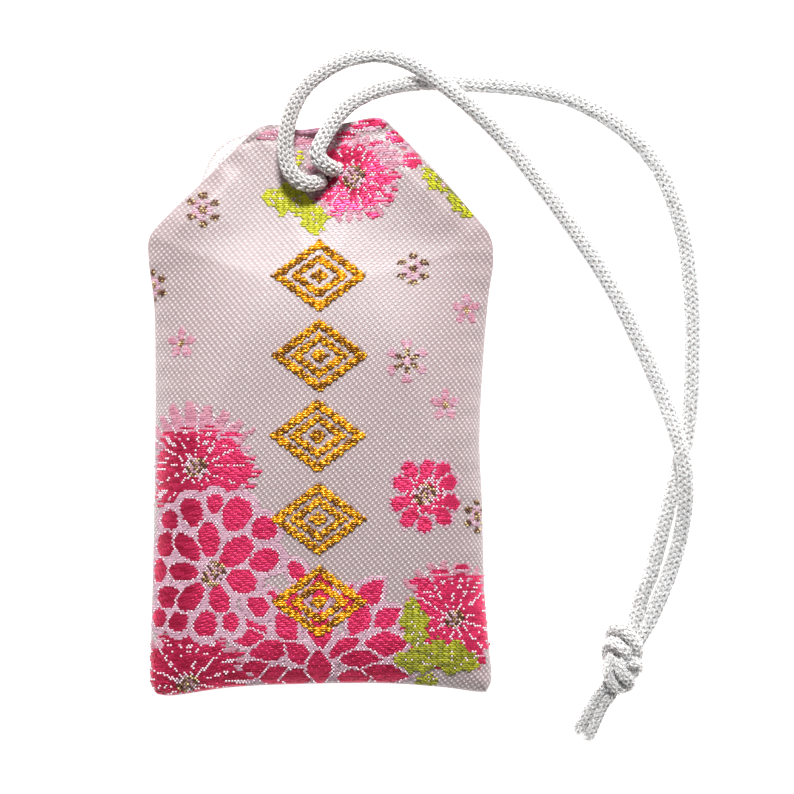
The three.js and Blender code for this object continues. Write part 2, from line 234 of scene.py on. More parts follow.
# The panels: two pieces of stiff silk brocade, sewn face to face along the sides and the foot and turned
# right side out, so that each edge rolls in to its seam. The padding swells the front and its shoulders, the
# back lies flat, and the cord draws the front in round its hole and along a valley up to the mouth.
LEFT_EDGE = [
    (-21.3, -37.3), (-22.1, -36.2), (-22.2, -32.9), (-21.9, -20), (-21.7, -9.3), (-21.6, 3),
    (-21.8, 14.2), (-22.5, 19.6), (-22.4, 22.3), (-20.6, 24.6), (-14.5, 30.4), (-8.6, 36.2),
]
RIGHT_EDGE = [
    (21.6, -37.0), (22.3, -35.6), (22.0, -31), (21.5, -25.2), (21.1, -11.8), (20.8, -4),
    (21.3, 6.9), (22.0, 15), (22.6, 19.5), (22.2, 22.4), (19.4, 26.0), (14, 31.8), (8.6, 37.5),
]
BOTTOM_EDGE = [
    (-21.3, -37.3), (-19.8, -37.5), (-11.5, -36.4), (1.2, -35.9), (8.8, -35.9), (16, -36.4),
    (20.5, -37.0), (21.6, -37.0),
]
TOP_EDGE = [
    (-8.6, 36.2), (-7.4, 36.8), (-5.4, 37.0), (-3.0, 36.3), (0.2, 36.6), (3.8, 37.3), (7.2, 37.9),
    (8.6, 37.5),
]
CURVE_STEPS = 24
EDGE_STEP = 0.1
PROFILE_STEP = 0.5
CLOTH = 0.28
SHOULDER_Y = 22.2
MOUTH_Y = 37.7
TAPER_Y = 19.2
BODY_Y = -4
SEAM_HEIGHT = 2.55
MOUTH_SEAM_HEIGHT = 4.1
SEAM_SPLIT = 0.4
MOUTH_SPLIT = 0.72
SPLIT_RUN = (SHOULDER_Y - 1, SHOULDER_Y + 2)
PROFILE = [
    (-38, 5.4), (-30, 6.1), (-24, 6.75), (-18, 7.35), (-12, 7.9), (-6, 8.35), (0, 8.6), (6, 8.7), (11, 8.5),
    (16, 7.9), (20, 7.2), (24, 6.45), (28, 5.9), (32, 5.45), (38, 5.0),
]
FRONT_REACH = 6.5
SHOULDER_REACH = 17.0
BACK_REACH = 5.0
SWELL = 1.9
SHOULDER_SWELL = 1.4
BACK_REST = 0.22
MOUTH_LIFT = 2.85
HOLE = np.array((1.0, 30.3, 0))
HOLE_RADIUS = 1.0
SLIT_HALF = 0.35
SLIT_SLOPE = 0.95
SLIT_STEPS = 9
BACK_HOLE_OFFSET = 2.25
BACK_HOLE_RADIUS = 1.25


def smooth_line(points, spacing):
    """Points about every spacing along a centripetal Catmull-Rom curve through points."""
    points = np.array(points, float)
    held = np.vstack([2 * points[0] - points[1], points, 2 * points[-1] - points[-2]])
    steps = np.linspace(0, 1, CURVE_STEPS, endpoint=False)[:, None]
    stretches = []
    for p0, p1, p2, p3 in zip(held, held[1:], held[2:], held[3:]):
        t0, t1, t2, t3 = np.cumsum([0] + [np.linalg.norm(d) ** 0.5 for d in (p1 - p0, p2 - p1, p3 - p2)])
        t = t1 + (t2 - t1) * steps
        a1 = ((t1 - t) * p0 + (t - t0) * p1) / (t1 - t0)
        a2 = ((t2 - t) * p1 + (t - t1) * p2) / (t2 - t1)
        a3 = ((t3 - t) * p2 + (t - t2) * p3) / (t3 - t2)
        b1 = ((t2 - t) * a1 + (t - t0) * a2) / (t2 - t0)
        b2 = ((t3 - t) * a2 + (t - t1) * a3) / (t3 - t1)
        stretches.append(((t2 - t) * b1 + (t - t1) * b2) / (t2 - t1))
    line = np.vstack([*stretches, points[-1:]])
    return even_line(line, spacing)


def even_line(line, spacing):
    run = np.concatenate([[0], np.cumsum(np.linalg.norm(np.diff(line, axis=0), axis=1))])
    at = np.linspace(0, run[-1], max(2, round(run[-1] / spacing) + 1))
    return np.stack([np.interp(at, run, axis) for axis in line.T], axis=1)


def unit(vectors):
    return vectors / np.linalg.norm(vectors, axis=-1, keepdims=True)


def spread(edge, steps, middle):
    """Places from 0 to 1, closer together within edge of both ends."""
    near = edge * (np.arange(steps) / steps) ** 1.5
    return np.concatenate([near, np.linspace(edge, 1 - edge, middle), 1 - near[::-1]])


def placed(points, places):
    """The points at these shares of the way along an edge."""
    line = smooth_line(points, EDGE_STEP)
    return np.stack([np.interp(places, np.linspace(0, 1, len(line)), axis) for axis in line.T], axis=1)


COLUMNS = spread(edge=0.15, steps=16, middle=86)
ROWS = spread(edge=0.085, steps=16, middle=176)
left, right = placed(LEFT_EDGE, ROWS), placed(RIGHT_EDGE, ROWS)
bottom, top = placed(BOTTOM_EDGE, COLUMNS), placed(TOP_EDGE, COLUMNS)
u, v = COLUMNS[None, :, None], ROWS[:, None, None]
plan = (1 - v) * bottom + v * top + (1 - u) * left[:, None] + u * right[:, None]
plan -= (1 - v) * ((1 - u) * bottom[0] + u * bottom[-1]) + v * ((1 - u) * top[0] + u * top[-1])

OUTLINE_STEP = 0.08
outline = even_line(np.vstack([bottom, right[1:], top[-2::-1], left[-2::-1]]), OUTLINE_STEP)
edge_gap = np.empty(plan.shape[:2])
edge_run = np.empty(plan.shape[:2])
for row, points in enumerate(plan):
    gaps = np.linalg.norm(points[:, None] - outline, axis=2)
    edge_gap[row] = gaps.min(axis=1)
    edge_run[row] = gaps.argmin(axis=1) * OUTLINE_STEP
for rim in (np.s_[0], np.s_[-1], np.s_[:, 0], np.s_[:, -1]):
    edge_gap[rim] = 0


def share(values, start, end):
    """How far values are on the way from start to end."""
    return np.clip((values - start) / (end - start), 0, 1)


def blend(start, end, part):
    return start + (end - start) * part


def bell(gap, width):
    """1 in the middle, and next to nothing at twice the width."""
    return np.exp(-(gap / width) ** 2)


def swell(reach, fullness):
    """0 at the seam and 1 on the flat, as full at the edge as a stuffed roll."""
    return (1 - (1 - share(edge_gap, 0, reach)) ** fullness) ** (1 / fullness)


def seam_height(y):
    """The seam runs level along the body and climbs from the shoulders to the mouth."""
    return blend(SEAM_HEIGHT, MOUTH_SEAM_HEIGHT, share(y, SHOULDER_Y, MOUTH_Y))


plan_x, plan_y = plan[..., 0], plan[..., 1]
front_flat = np.interp(plan_y, *smooth_line(PROFILE, PROFILE_STEP).T)
up_body = share(plan_y, BODY_Y, TAPER_Y)
front_swell = swell(blend(FRONT_REACH, SHOULDER_REACH, up_body), blend(SWELL, SHOULDER_SWELL, up_body))
split = blend(SEAM_SPLIT, MOUTH_SPLIT, share(plan_y, *SPLIT_RUN))
front_base = blend(seam_height(plan_y) + split, front_flat, front_swell)
back_lift = blend(BACK_REST, MOUTH_LIFT, 1 - (1 - share(plan_y, TAPER_Y, MOUTH_Y)) ** 4)
back_base = blend(seam_height(plan_y) - split, back_lift, swell(BACK_REACH, SWELL))

PUCKER_PITCH = 3.6
PUCKER_DRIFT = 1.4
PUCKER_DRIFT_RUN = 7
PUCKER_DEPTH = 0.16
PUCKER_REACH = 1.7
PUCKER_RIM = 0.8
SAG_DEPTH = 0.14
SAG_RIM = (1, 7)
SAG_WAVES = ((5.1, 9.3), (-11, 6.4), (3.3, -4.1))


def waves(length_x, length_y):
    return np.sin(plan_x / length_x + plan_y / length_y)


drift = PUCKER_DRIFT * np.sin(edge_run / PUCKER_DRIFT_RUN)
pucker = np.sin(edge_run * 2 * math.pi / PUCKER_PITCH + drift) * np.exp(-edge_gap / PUCKER_REACH)
pucker *= PUCKER_DEPTH * share(edge_gap, 0, PUCKER_RIM)
broad, crossing, fine = (waves(*lengths) for lengths in SAG_WAVES)
sag = broad * crossing + fine / 2
sag *= SAG_DEPTH * share(edge_gap, *SAG_RIM)

DIMPLE_DEPTH = 1.5
DIMPLE_WIDTH = 2.6
PLEATS = 5
PLEAT_TURN = 0.6
PLEAT_DEPTH = 0.3
PLEAT_PLACE = 3.2
PLEAT_WIDTH = 1.8
VALLEY_END = np.array((-2.2, 37.2))
VALLEY_DEPTH = 1.5
VALLEY_WIDTH = 1.9
VALLEY_RIM = (-0.6, 1)
LIP_PLACE = (0.9, -0.7)
LIP_HEIGHT = 0.6
LIP_WIDTH = 1.1
PUFFS = ((-18.0, 27.0, 6.5, 1.5), (16.4, 28.0, 6.0, 1.3), (12.5, 31.5, 4.2, 0.8))
PUFF_RIM = 2.5
HEM = 2.0
HEM_DEPTH = 0.14
HEM_WIDTH = 0.4
from_hole = plan - HOLE[:2]
hole_gap = np.linalg.norm(from_hole, axis=2)
hole_angle = np.arctan2(from_hole[..., 1], from_hole[..., 0])
dimple = DIMPLE_DEPTH * bell(hole_gap, DIMPLE_WIDTH)
dimple -= PLEAT_DEPTH * np.cos(PLEATS * hole_angle + PLEAT_TURN) * bell(hole_gap - PLEAT_PLACE, PLEAT_WIDTH)
valley_way = VALLEY_END - HOLE[:2]
down_valley = np.clip(from_hole @ valley_way / (valley_way @ valley_way), 0, 1)
valley_gap = np.linalg.norm(from_hole - down_valley[..., None] * valley_way, axis=2)
valley = VALLEY_DEPTH * bell(valley_gap, VALLEY_WIDTH) * share(edge_gap, *VALLEY_RIM)
lip = LIP_HEIGHT * bell(np.linalg.norm(from_hole - LIP_PLACE, axis=2), LIP_WIDTH)
puff = sum(height * bell(np.hypot(plan_x - x, plan_y - y), width) for x, y, width, height in PUFFS)
puff *= share(edge_gap, 0, PUFF_RIM)
hem = HEM_DEPTH * bell(plan_y[-1] - plan_y - HEM, HEM_WIDTH)
front_height = front_base + pucker + sag + lip + puff - hem - np.maximum(dimple, valley)
back_height = back_base - pucker / 2


def flat_run(across, height, axis):
    """How far each point is from the middle, measured along the cloth."""
    step = np.diff(across, axis=axis)
    run = np.cumsum(np.sign(step) * np.hypot(step, np.diff(height, axis=axis)), axis=axis)
    run = np.concatenate([np.zeros_like(np.take(run, [0], axis)), run], axis=axis)
    middle = [run.shape[axis] // 2]
    return run - np.take(run, middle, axis) + np.take(across, middle, axis)


def normals(grid):
    return unit(np.cross(np.gradient(grid, axis=1), np.gradient(grid, axis=0)))


def panel_of(base, height, facing):
    """A panel's grid: where each point is, where it lies on the flat cloth, and which way it faces."""
    place = np.dstack([plan, height])
    along = unit(np.gradient(place, axis=1))
    out = normals(place) * facing
    return {
        "place": place, "along": along, "out": out,
        "a": flat_run(plan_x, base, 1), "b": flat_run(plan_y, base, 0), "facing": facing,
    }


front_panel = panel_of(front_base, front_height, 1)
back_panel = panel_of(back_base, back_height, -1)

ROLL = 0.55
ROLL_DROP = 0.4
ROLL_STEPS = 4
HOLE_SNAP = 0.18


def panel_mesh(panel, holes):
    """Vertices and faces of a panel with its edge rolled in, open at the holes: (x, y, radius) each."""
    rows, columns = plan.shape[:2]
    index = np.arange(rows * columns).reshape(rows, columns)
    faces = np.stack([index[:-1, :-1], index[:-1, 1:], index[1:, 1:], index[1:, :-1]], axis=-1).reshape(-1, 4)
    middles = plan.reshape(-1, 2)[faces].mean(axis=1)
    place = panel["place"].reshape(-1, 3).copy()
    for x, y, radius in holes:
        kept = np.hypot(middles[:, 0] - x, middles[:, 1] - y) > radius
        faces, middles = faces[kept], middles[kept]
        off = place[:, :2] - (x, y)
        gap = np.linalg.norm(off, axis=1)
        near = np.abs(gap - radius) < HOLE_SNAP
        place[near, :2] = (x, y) + off[near] * radius / gap[near, None]
    loop = np.concatenate([index[0, :-1], index[:-1, -1], index[-1, :0:-1], index[:0:-1, 0]])
    rim = panel["place"].reshape(-1, 3)[loop]
    way = unit((np.roll(rim, -1, axis=0) - np.roll(rim, 1, axis=0))[:, :2])
    inward = np.stack([-way[:, 1], way[:, 0], np.zeros(len(way))], axis=1)
    rings = [loop]
    vertices = [place]
    for step in range(1, ROLL_STEPS + 1):
        turn = step / ROLL_STEPS * math.pi / 2
        ring = rim + inward * ROLL * (1 - math.cos(turn))
        ring[:, 2] -= panel["facing"] * ROLL_DROP * math.sin(turn)
        rings.append(rows * columns + (step - 1) * len(loop) + np.arange(len(loop)))
        vertices.append(ring)
    rolled = []
    for outer, inner in zip(rings, rings[1:]):
        rolled.append(np.stack([inner, np.roll(inner, -1), np.roll(outer, -1), outer], axis=1))
    faces = np.vstack([faces, *rolled])
    if panel["facing"] < 0:
        faces = faces[:, ::-1]
    return np.vstack(vertices), faces.tolist(), loop


# The lining and the wadding: thin white interfacing behind each panel, and one layer of cotton wadding under
# the front, all cut smaller than the panels and held only by being pressed together.
SOFT_MERGE = 0.01
SOFT_PASSES = 2
SOFT_FACTOR = 0.3
LINING_WAVE = 0.04
WADDING_WAVE = 0.12
BACK_SLACK = 0.2
LOOK_FROM = 50

plan_tree = KDTree(plan_x.size)
for i, (x, y) in enumerate(plan.reshape(-1, 2)):
    plan_tree.insert((x, y, 0), i)
plan_tree.balance()
solids = bpy.context.evaluated_depsgraph_get()
solid_front = BVHTree.FromObject(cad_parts["front_panel"], solids)
solid_back = BVHTree.FromObject(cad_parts["back_panel"], solids)


def moved(x, y, solid, sculpted, facing):
    """How much higher a sculpted panel is than its solid at a place, in millimetres."""
    hit = solid.ray_cast(Vector((x, y, LOOK_FROM * facing)) * MM, Vector((0, 0, -facing)))[0]
    nearest = plan_tree.find((x, y, 0))[1]
    return sculpted.flat[nearest] - hit.z / MM if hit else 0


def softened(node, name, wave, material):
    """A smoother copy of a soft solid, with an uneven surface, which stands for it."""
    low, high = (corner.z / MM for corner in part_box(node))
    shape = bmesh.new()
    shape.from_mesh(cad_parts[node].data)
    bmesh.ops.remove_doubles(shape, verts=shape.verts, dist=SOFT_MERGE * MM)
    bmesh.ops.subdivide_edges(shape, edges=shape.edges, cuts=1, use_grid_fill=True)
    for _ in range(SOFT_PASSES):
        bmesh.ops.smooth_vert(shape, verts=shape.verts, factor=SOFT_FACTOR, use_axis_z=True)
    for vertex in shape.verts:
        x, y, z = vertex.co / MM
        uneven = wave * math.sin(1.3 * x + 0.6 * y) * math.sin(0.9 * y - 0.5 * x)
        if node == "back_lining":
            rise = max(0, moved(x, y, solid_back, back_base, -1) - BACK_SLACK)
        else:
            rise = moved(x, y, solid_front, front_base, 1)
        if node == "wadding_pad":
            rise *= min(1, max(0, (z - low) / (high - low)))
        vertex.co.z += (uneven + rise) * MM
    mesh = bpy.data.meshes.new(name)
    shape.to_mesh(mesh)
    shape.free()
    made = make_object(name, mesh, material)
    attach(made, "pouch")
    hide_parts(node)
    return made


fluff_looks = fibrous(1800, 5, (232, 229, 222), (250, 248, 243), 0.6, 0.00015)
lining_finish = finish("interfacing", fluff_looks, Roughness=0.95)
wadding_finish = finish("cotton_wadding", fluff_looks, Roughness=1)
for node in ("front_lining", "back_lining"):
    lining = softened(node, node + "_cloth", LINING_WAVE, lining_finish)
    low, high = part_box(node)
wadding = softened("wadding_pad", "wadding", WADDING_WAVE, wadding_finish)

# The woven pattern: flowers, leaves and a column of gold lozenges, brocaded into the ground as rows of
# short floats. Each painter below says which thread comes to the face at places on the flat cloth.
GROUND, PETAL, FADED, PALE, BEAD, LEAF, GOLD, SPECK, BROWN = range(9)
THREAD_ROW = 0.28
FLOAT_STEP = 0.4
CREST_REACH = 1.2
HIDDEN_REACH = 0.99
TAPER_START = 0.85


def scattered(*values):
    """The same numbers between 0 and 1 on every run, without order from one place to the next."""
    mixed = sum(value * factor for value, factor in zip(values, (12.9898, 78.233, 37.719)))
    return np.abs(np.sin(mixed) * 43758.5453) % 1


def chance(row, x, part, step=FLOAT_STEP):
    """True on about this part of a row's steps, without order."""
    return scattered(row, np.round(x / step)) < part


def turned(x, y, angle):
    """Places measured along and across a direction."""
    return x * math.cos(angle) + y * math.sin(angle), y * math.cos(angle) - x * math.sin(angle)


def around(angle, far):
    """The place at an angle in degrees, so far from the middle."""
    return far * math.cos(math.radians(angle)), far * math.sin(math.radians(angle))


def speckled(kind, x, y, radius):
    """A flower's eye: a ring of gold and brown specks round a pale middle."""
    row = np.round(y / THREAD_ROW)
    speck = scattered(np.round(x / FLOAT_STEP), row)
    out = np.hypot(x, y * 1.1) / max(radius, 0.1)
    ring = np.select([speck < 0.34, speck < 0.58, speck < 0.8], [SPECK, BROWN, BEAD], PALE)
    middle = np.select([speck < 0.2, speck < 0.35, speck < 0.6], [SPECK, BROWN, FADED], PALE)
    return np.where(out > 0.9 + 0.2 * scattered(row), kind, np.where(out > 0.55, ring, middle))


def spiky_flower(x, y, row, radius, count, turn=0.0, eye=1.5, crest=(0, 0), rise=1.0):
    """Broad petals parted by dotted lines, with frayed ends, and faded petals behind them where the crest is:
    between two angles in degrees. Rise stretches the upper half of the petals in front."""
    eye_y, from_eye = y, np.hypot(x, y)
    y = np.where(y > 0, y / rise, y)
    distance = np.hypot(x, y)
    angle = np.arctan2(y, x)
    at = (angle - turn) / (2 * math.pi) * count
    petal = np.floor(at)
    off = np.abs(at - petal - 0.5)
    fringe = scattered(row, np.sign(x)) * np.abs(x) / np.maximum(distance, 0.1)
    reach = radius * (0.86 - 0.7 * off ** 2 + 0.14 * scattered(petal, 3)) + 0.9 * (fringe - 0.3)
    between = (0.5 - off) / count * 2 * math.pi * distance
    back_petal = np.floor(at * 2)
    back_off = np.abs(at * 2 - back_petal - 0.5)
    crested = (angle > math.radians(crest[0])) & (angle < math.radians(crest[1]))
    far = radius * np.where(crested, CREST_REACH, HIDDEN_REACH) * (1 - 0.1 * scattered(back_petal, 5))
    outward = share(from_eye, TAPER_START * radius, far)
    kind = np.where((from_eye < far + 0.5 * fringe) & (back_off < 0.4 - 0.2 * outward), FADED, GROUND)
    kind = np.where((from_eye < 0.9 * radius) & (kind == GROUND), PALE, kind)
    parted = (from_eye < far - 0.6) & (back_off > 0.4)
    kind = np.where(parted & (scattered(row, back_petal) < 0.4), BEAD, kind)
    kind = np.where((distance < reach + 0.7) & (scattered(row, petal) < 0.45), PALE, kind)
    kind = np.where((distance < reach + 1.1) & (scattered(row, petal + 11) < 0.3), PETAL, kind)
    kind = np.where(distance < reach, PETAL, kind)
    kind = np.where((between < 0.2) & (distance < reach) & chance(row, x, 0.6), BEAD, kind)
    streak = (off < 0.13) & (distance > 0.62 * reach) & (distance < reach) & (scattered(petal, row) < 0.4)
    kind = np.where(streak, BEAD, kind)
    return speckled(kind, x, eye_y, eye)


def outlined_petals(x, y, petals, pointed, band, line=0.3):
    """Filled petals with dotted outlines on a pale band, later ones over earlier ones: each petal is
    (x, y, angle, half length, half width)."""
    kind = np.full(np.shape(x), GROUND)
    dotted = np.where((np.round(y / THREAD_ROW) + np.floor(x / FLOAT_STEP)) % 2 == 0, BEAD, PALE)
    for middle_x, middle_y, angle, long, wide in petals:
        along, across = turned(x - middle_x, y - middle_y, math.radians(angle))
        if pointed:
            gap = np.abs(across) - wide * (1 - np.minimum(np.abs(along / long), 1.6) ** 1.8)
            gap = np.where(np.abs(along) < long + 0.8, gap * 0.85, 9)
        else:
            narrow = 1 - 0.12 * np.clip(-along / long, -1, 1)
            gap = (np.hypot(along / long, across / (wide * narrow)) - 1) * wide
        kind = np.where((gap < band) & (kind != PETAL), PALE, kind)
        kind = np.where(gap < line, dotted, kind)
        kind = np.where(gap < 0, PETAL, kind)
    return kind


def petal_flower(x, y, row, petals, pointed, band, line, eye):
    return speckled(outlined_petals(x, y, petals, pointed, band, line), x, y, eye)


def ringed(petals):
    """Petals given as (angle, distance, half length, half width), by place."""
    return [(*around(angle, far), angle, long, wide) for angle, far, long, wide in petals]


ROUND_PETALS = ringed([
    (109, 8.4, 1.9, 1.45), (89, 8.9, 1.3, 1.05), (68, 8.1, 2.3, 1.85), (41, 8.5, 1.6, 1.6),
    (13, 6.9, 2.0, 1.45), (130, 9.0, 1.35, 1.35), (149, 7.2, 1.5, 1.65), (177, 6.8, 1.2, 1.5),
    (207, 6.8, 1.6, 1.5), (220, 9.3, 1.2, 1.2), (234, 7.9, 1.35, 1.3), (260, 6.8, 1.7, 1.45),
    (288, 6.8, 1.4, 1.0), (-38, 7.2, 1.5, 1.2),
    (95, 4.3, 2.3, 1.35), (42, 4.2, 2.5, 1.6), (-18, 3.9, 1.95, 1.55), (-76, 3.7, 1.85, 1.3),
    (229, 4.0, 2.2, 1.35), (180, 4.1, 1.95, 1.2), (133, 4.6, 2.2, 1.25),
])
LAYERED_PETALS = [
    (-3.1, 15.0, 125, 1.7, 1.0), (0.2, 12.6, 90, 2.4, 1.35), (6.5, 11.9, 48, 2.7, 1.45),
    (3.4, 11.4, 70, 1.8, 1.0), (-8.4, 10.3, 140, 2.1, 1.25), (-5.8, 10.6, 112, 1.9, 1.0),
    (-3.2, 10.6, 100, 2.1, 1.15), (8.6, 8.8, 35, 2.1, 1.35), (-8.2, 7.8, 150, 1.8, 0.95),
    (5.2, 8.3, 58, 2.3, 1.5), (-4.2, 7.4, 122, 2.4, 1.4), (0.1, 7.4, 90, 2.6, 1.6),
    (8.5, 5.4, 0, 2.9, 1.6), (-9.4, 5.9, 180, 2.5, 1.1), (-6.5, 4.6, 190, 2.8, 1.5),
    (3.1, 4.6, 35, 2.4, 1.2), (-2.8, 4.2, 140, 2.3, 1.3), (5.5, 3.3, -5, 3.0, 1.5),
    (-8.9, 1.9, 205, 2.4, 1.3), (8.3, 1.5, -6, 3.2, 1.5), (-5.8, 1.4, 200, 2.4, 1.5),
    (4.2, 0.9, -3, 2.3, 1.5), (-3.2, 1.0, 190, 2.2, 1.5), (0.0, 2.4, 90, 2.7, 1.6),
]
TEN_PETALS = ringed([
    (121, 3.7, 1.2, 0.95), (84, 3.3, 1.25, 0.95), (54, 3.7, 1.25, 0.9), (26, 3.3, 1.3, 0.95),
    (-16, 3.4, 1.35, 0.95), (-50, 3.6, 1.3, 1.0), (-92, 3.8, 1.1, 0.95), (-124, 3.5, 1.4, 0.95),
    (-162, 3.5, 1.2, 0.9), (154, 3.1, 1.4, 0.95),
])
FIVE_PETALS = ringed([(angle, 1.25, 0.85, 0.5) for angle in range(18, 378, 72)])


def ten_petals(x, y, row):
    """Round petals with bright dashes between them and the eye."""
    kind = outlined_petals(x, y, TEN_PETALS, False, 0)
    near = np.hypot(x, y)
    kind = np.where((kind == BEAD) & (near > 2.6), GROUND, kind)
    dashes = np.where(chance(row, x, 0.22, 0.5), BEAD, PETAL)
    kind = np.where((near < 2.5) & (kind != BEAD), dashes, kind)
    return speckled(kind, x, y, 1.55)


def patch(x, y, row, thread, turn, long, wide):
    """A ragged bit of a flower that runs out of the picture."""
    along, across = turned(x, y, turn)
    inside = np.hypot(along / long, across / wide) < 0.75 + 0.4 * scattered(row, np.sign(x))
    streaked = np.where(chance(row, x, 0.3, 2.4), PALE, thread)
    return np.where(inside, np.where(chance(row, x, 0.16, 0.6), BEAD, streaked), GROUND)


def small_blossom(x, y, row):
    kind = np.where(outlined_petals(x, y, FIVE_PETALS, False, 0) == PETAL, FADED, GROUND)
    kind = np.where((kind == FADED) & chance(row, x, 0.35, 0.5), PALE, kind)
    return np.where(np.hypot(x, y) < 0.45, SPECK, kind)


def spoked_blossom(x, y, row):
    distance = np.hypot(x, y)
    off = np.abs(np.degrees(np.arctan2(y, x)) / 60 % 1 - 0.5)
    kind = np.where((distance > 1.6) & (distance < 2.7) & (off < 0.22), PALE, GROUND)
    kind = np.where((kind == PALE) & chance(row, x, 0.4, 0.5), FADED, kind)
    spoke = np.where(chance(row, x, 0.5), BROWN, SPECK)
    kind = np.where((distance > 0.5) & (distance < 1.75) & (off * distance < 0.26), spoke, kind)
    return np.where(distance < 0.5, PALE, kind)


def gold_blossom(x, y, row):
    kind = np.full(np.shape(x), GROUND)
    for angle in range(30, 390, 60):
        bead_x, bead_y = around(angle, 1.8)
        bead = np.hypot(x - bead_x, (y - bead_y) * 1.5) < 0.62
        kind = np.where(bead, np.where(chance(row, x, 0.55), BROWN, SPECK), kind)
    near = np.hypot(x, y)
    kind = np.where((near < 1.35) & (kind == GROUND) & chance(row, x, 0.6, 0.6), PALE, kind)
    middle = np.where(scattered(np.round(x / FLOAT_STEP), row) < 0.5, BROWN, SPECK)
    return np.where(near < 0.6, middle, kind)


def leaf(x, y, row, turn, long, wide):
    """A toothed leaf with its tip at turn: pale dots mark its vein and ribs."""
    along, across = turned(x, y, turn)
    along, across = along / long, np.abs(across)
    teeth = 1 + 0.2 * np.sin(along * 10)
    reach = wide * (1 - along ** 2) * teeth + 0.5 * (scattered(row, 1) - 0.5)
    kind = np.where((np.abs(along) < 1) & (across < reach), LEAF, GROUND)
    vein = (across < 0.2) & (along < 0.55) & (along > -0.8)
    rib = (np.abs((along * long + across) % 1.6 - 0.8) < 0.14) & (across < 0.75 * reach)
    return np.where((kind == LEAF) & (vein | rib) & chance(row, x, 0.3), BEAD, kind)


def lozenge(x, y, row, half_width=6.2, half_height=4.7):
    """Two nested lozenge frames round a small one."""
    out = np.abs(x) / half_width + np.abs(y) / half_height
    return np.where((out < 0.2) | (np.abs(out - 0.5) < 0.115) | (np.abs(out - 0.88) < 0.13), GOLD, GROUND)


PATCHES = [
    (-0.4, 30.6, PALE, 0.9, 1.5, 0.9), (3.7, 35.7, PETAL, 0.6, 1.7, 0.9),
    (6.6, 36.9, PETAL, 0.15, 2.4, 0.8), (10.2, 34.9, PETAL, -0.5, 1.8, 0.8),
    (11.7, 32.3, PETAL, 0.3, 1.3, 1.2), (8.6, 33.0, FADED, -0.6, 2.2, 1.2),
    (-1.6, 35.2, FADED, 0.0, 2.2, 1.7), (-6.4, 35.6, FADED, 0.3, 1.8, 0.6),
    (-2.9, 32.4, LEAF, 1.3, 1.1, 0.6),
]
BLOSSOMS = [
    (small_blossom, -17.8, 8.4), (small_blossom, 18.8, 13.0), (small_blossom, 16.5, 0.5),
    (spoked_blossom, 11.2, 6.3), (gold_blossom, 12.1, 18.2), (gold_blossom, -15.3, 25.9),
    (gold_blossom, -21.9, 16.1), (gold_blossom, 20.5, -13.9),
]
LEAVES = [
    (-4.2, 27.1, 3.0, 3.5, 2.0), (-0.9, 24.7, -1.35, 2.4, 1.7), (15.3, 29.6, 2.5, 2.7, 1.3),
    (18.2, 27.1, -0.95, 2.6, 1.5), (12.2, -27.9, 1.7, 3.7, 1.8), (17.0, -32.4, -0.25, 4.4, 2.2),
    (12.2, -33.0, 3.0, 3.0, 1.6), (14.0, -35.9, -1.9, 2.0, 1.4),
]
LOZENGE_X = -0.1
LOZENGE_ROWS = (17.4, 6.9, -3.6, -14.1, -25.0)
MOTIFS = [
    (spiky_flower, -16.1, -7.6, {"radius": 7.4, "count": 13, "turn": 0.1, "crest": (40, 155), "rise": 0.75}),
    (petal_flower, 0.0, -36.0, {
        "petals": LAYERED_PETALS, "pointed": True, "band": 0.62, "line": 0.36, "eye": 0}),
    (spiky_flower, -17.3, -35.9, {"radius": 8.0, "count": 13, "turn": 0.3}),
    (petal_flower, -13.85, -21.3, {
        "petals": ROUND_PETALS, "pointed": False, "band": 0.85, "line": 0.3, "eye": 1.8}),
    (spiky_flower, 17.7, -27.2, {
        "radius": 6.7, "count": 13, "turn": 0.2, "eye": 1.4, "crest": (40, 150), "rise": 1.04}),
    (spiky_flower, 4.3, 30.1, {"radius": 5.2, "count": 13, "turn": 0.15, "eye": 1.65, "crest": (-180, 180)}),
    *[(patch, x, y, dict(zip(("thread", "turn", "long", "wide"), sizes))) for x, y, *sizes in PATCHES],
    (ten_petals, 13.66, -11.0, {}),
    *[(painter, x, y, {}) for painter, x, y in BLOSSOMS],
    *[(leaf, x, y, dict(zip(("turn", "long", "wide"), sizes))) for x, y, *sizes in LEAVES],
    *[(lozenge, LOZENGE_X, y, {}) for y in LOZENGE_ROWS],
]
BACK_MOTIFS = [motif for motif in MOTIFS if motif[0] != lozenge]


def on_cloth(panel, x, y):
    """Where a place in the plan lies on a panel's flat cloth."""
    nearest = np.argmin(np.hypot(plan_x - x, plan_y - y))
    return np.array((panel["a"].flat[nearest], panel["b"].flat[nearest]))


def woven(panel, motifs, a, b):
    """Which thread shows at places on the flat cloth of a panel."""
    row = np.round(b / THREAD_ROW)
    kind = np.full(np.shape(a), GROUND)
    for painter, x, y, sizes in motifs:
        middle = on_cloth(panel, x, y)
        if painter == petal_flower:
            sizes = {**sizes, "petals": [
                (*(on_cloth(panel, x + petal_x, y + petal_y) - middle), *size)
                for petal_x, petal_y, *size in sizes["petals"]
            ]}
        painted = painter(a - middle[0], b - middle[1], row, **sizes)
        kind = np.where(painted == GROUND, kind, painted)
    return kind


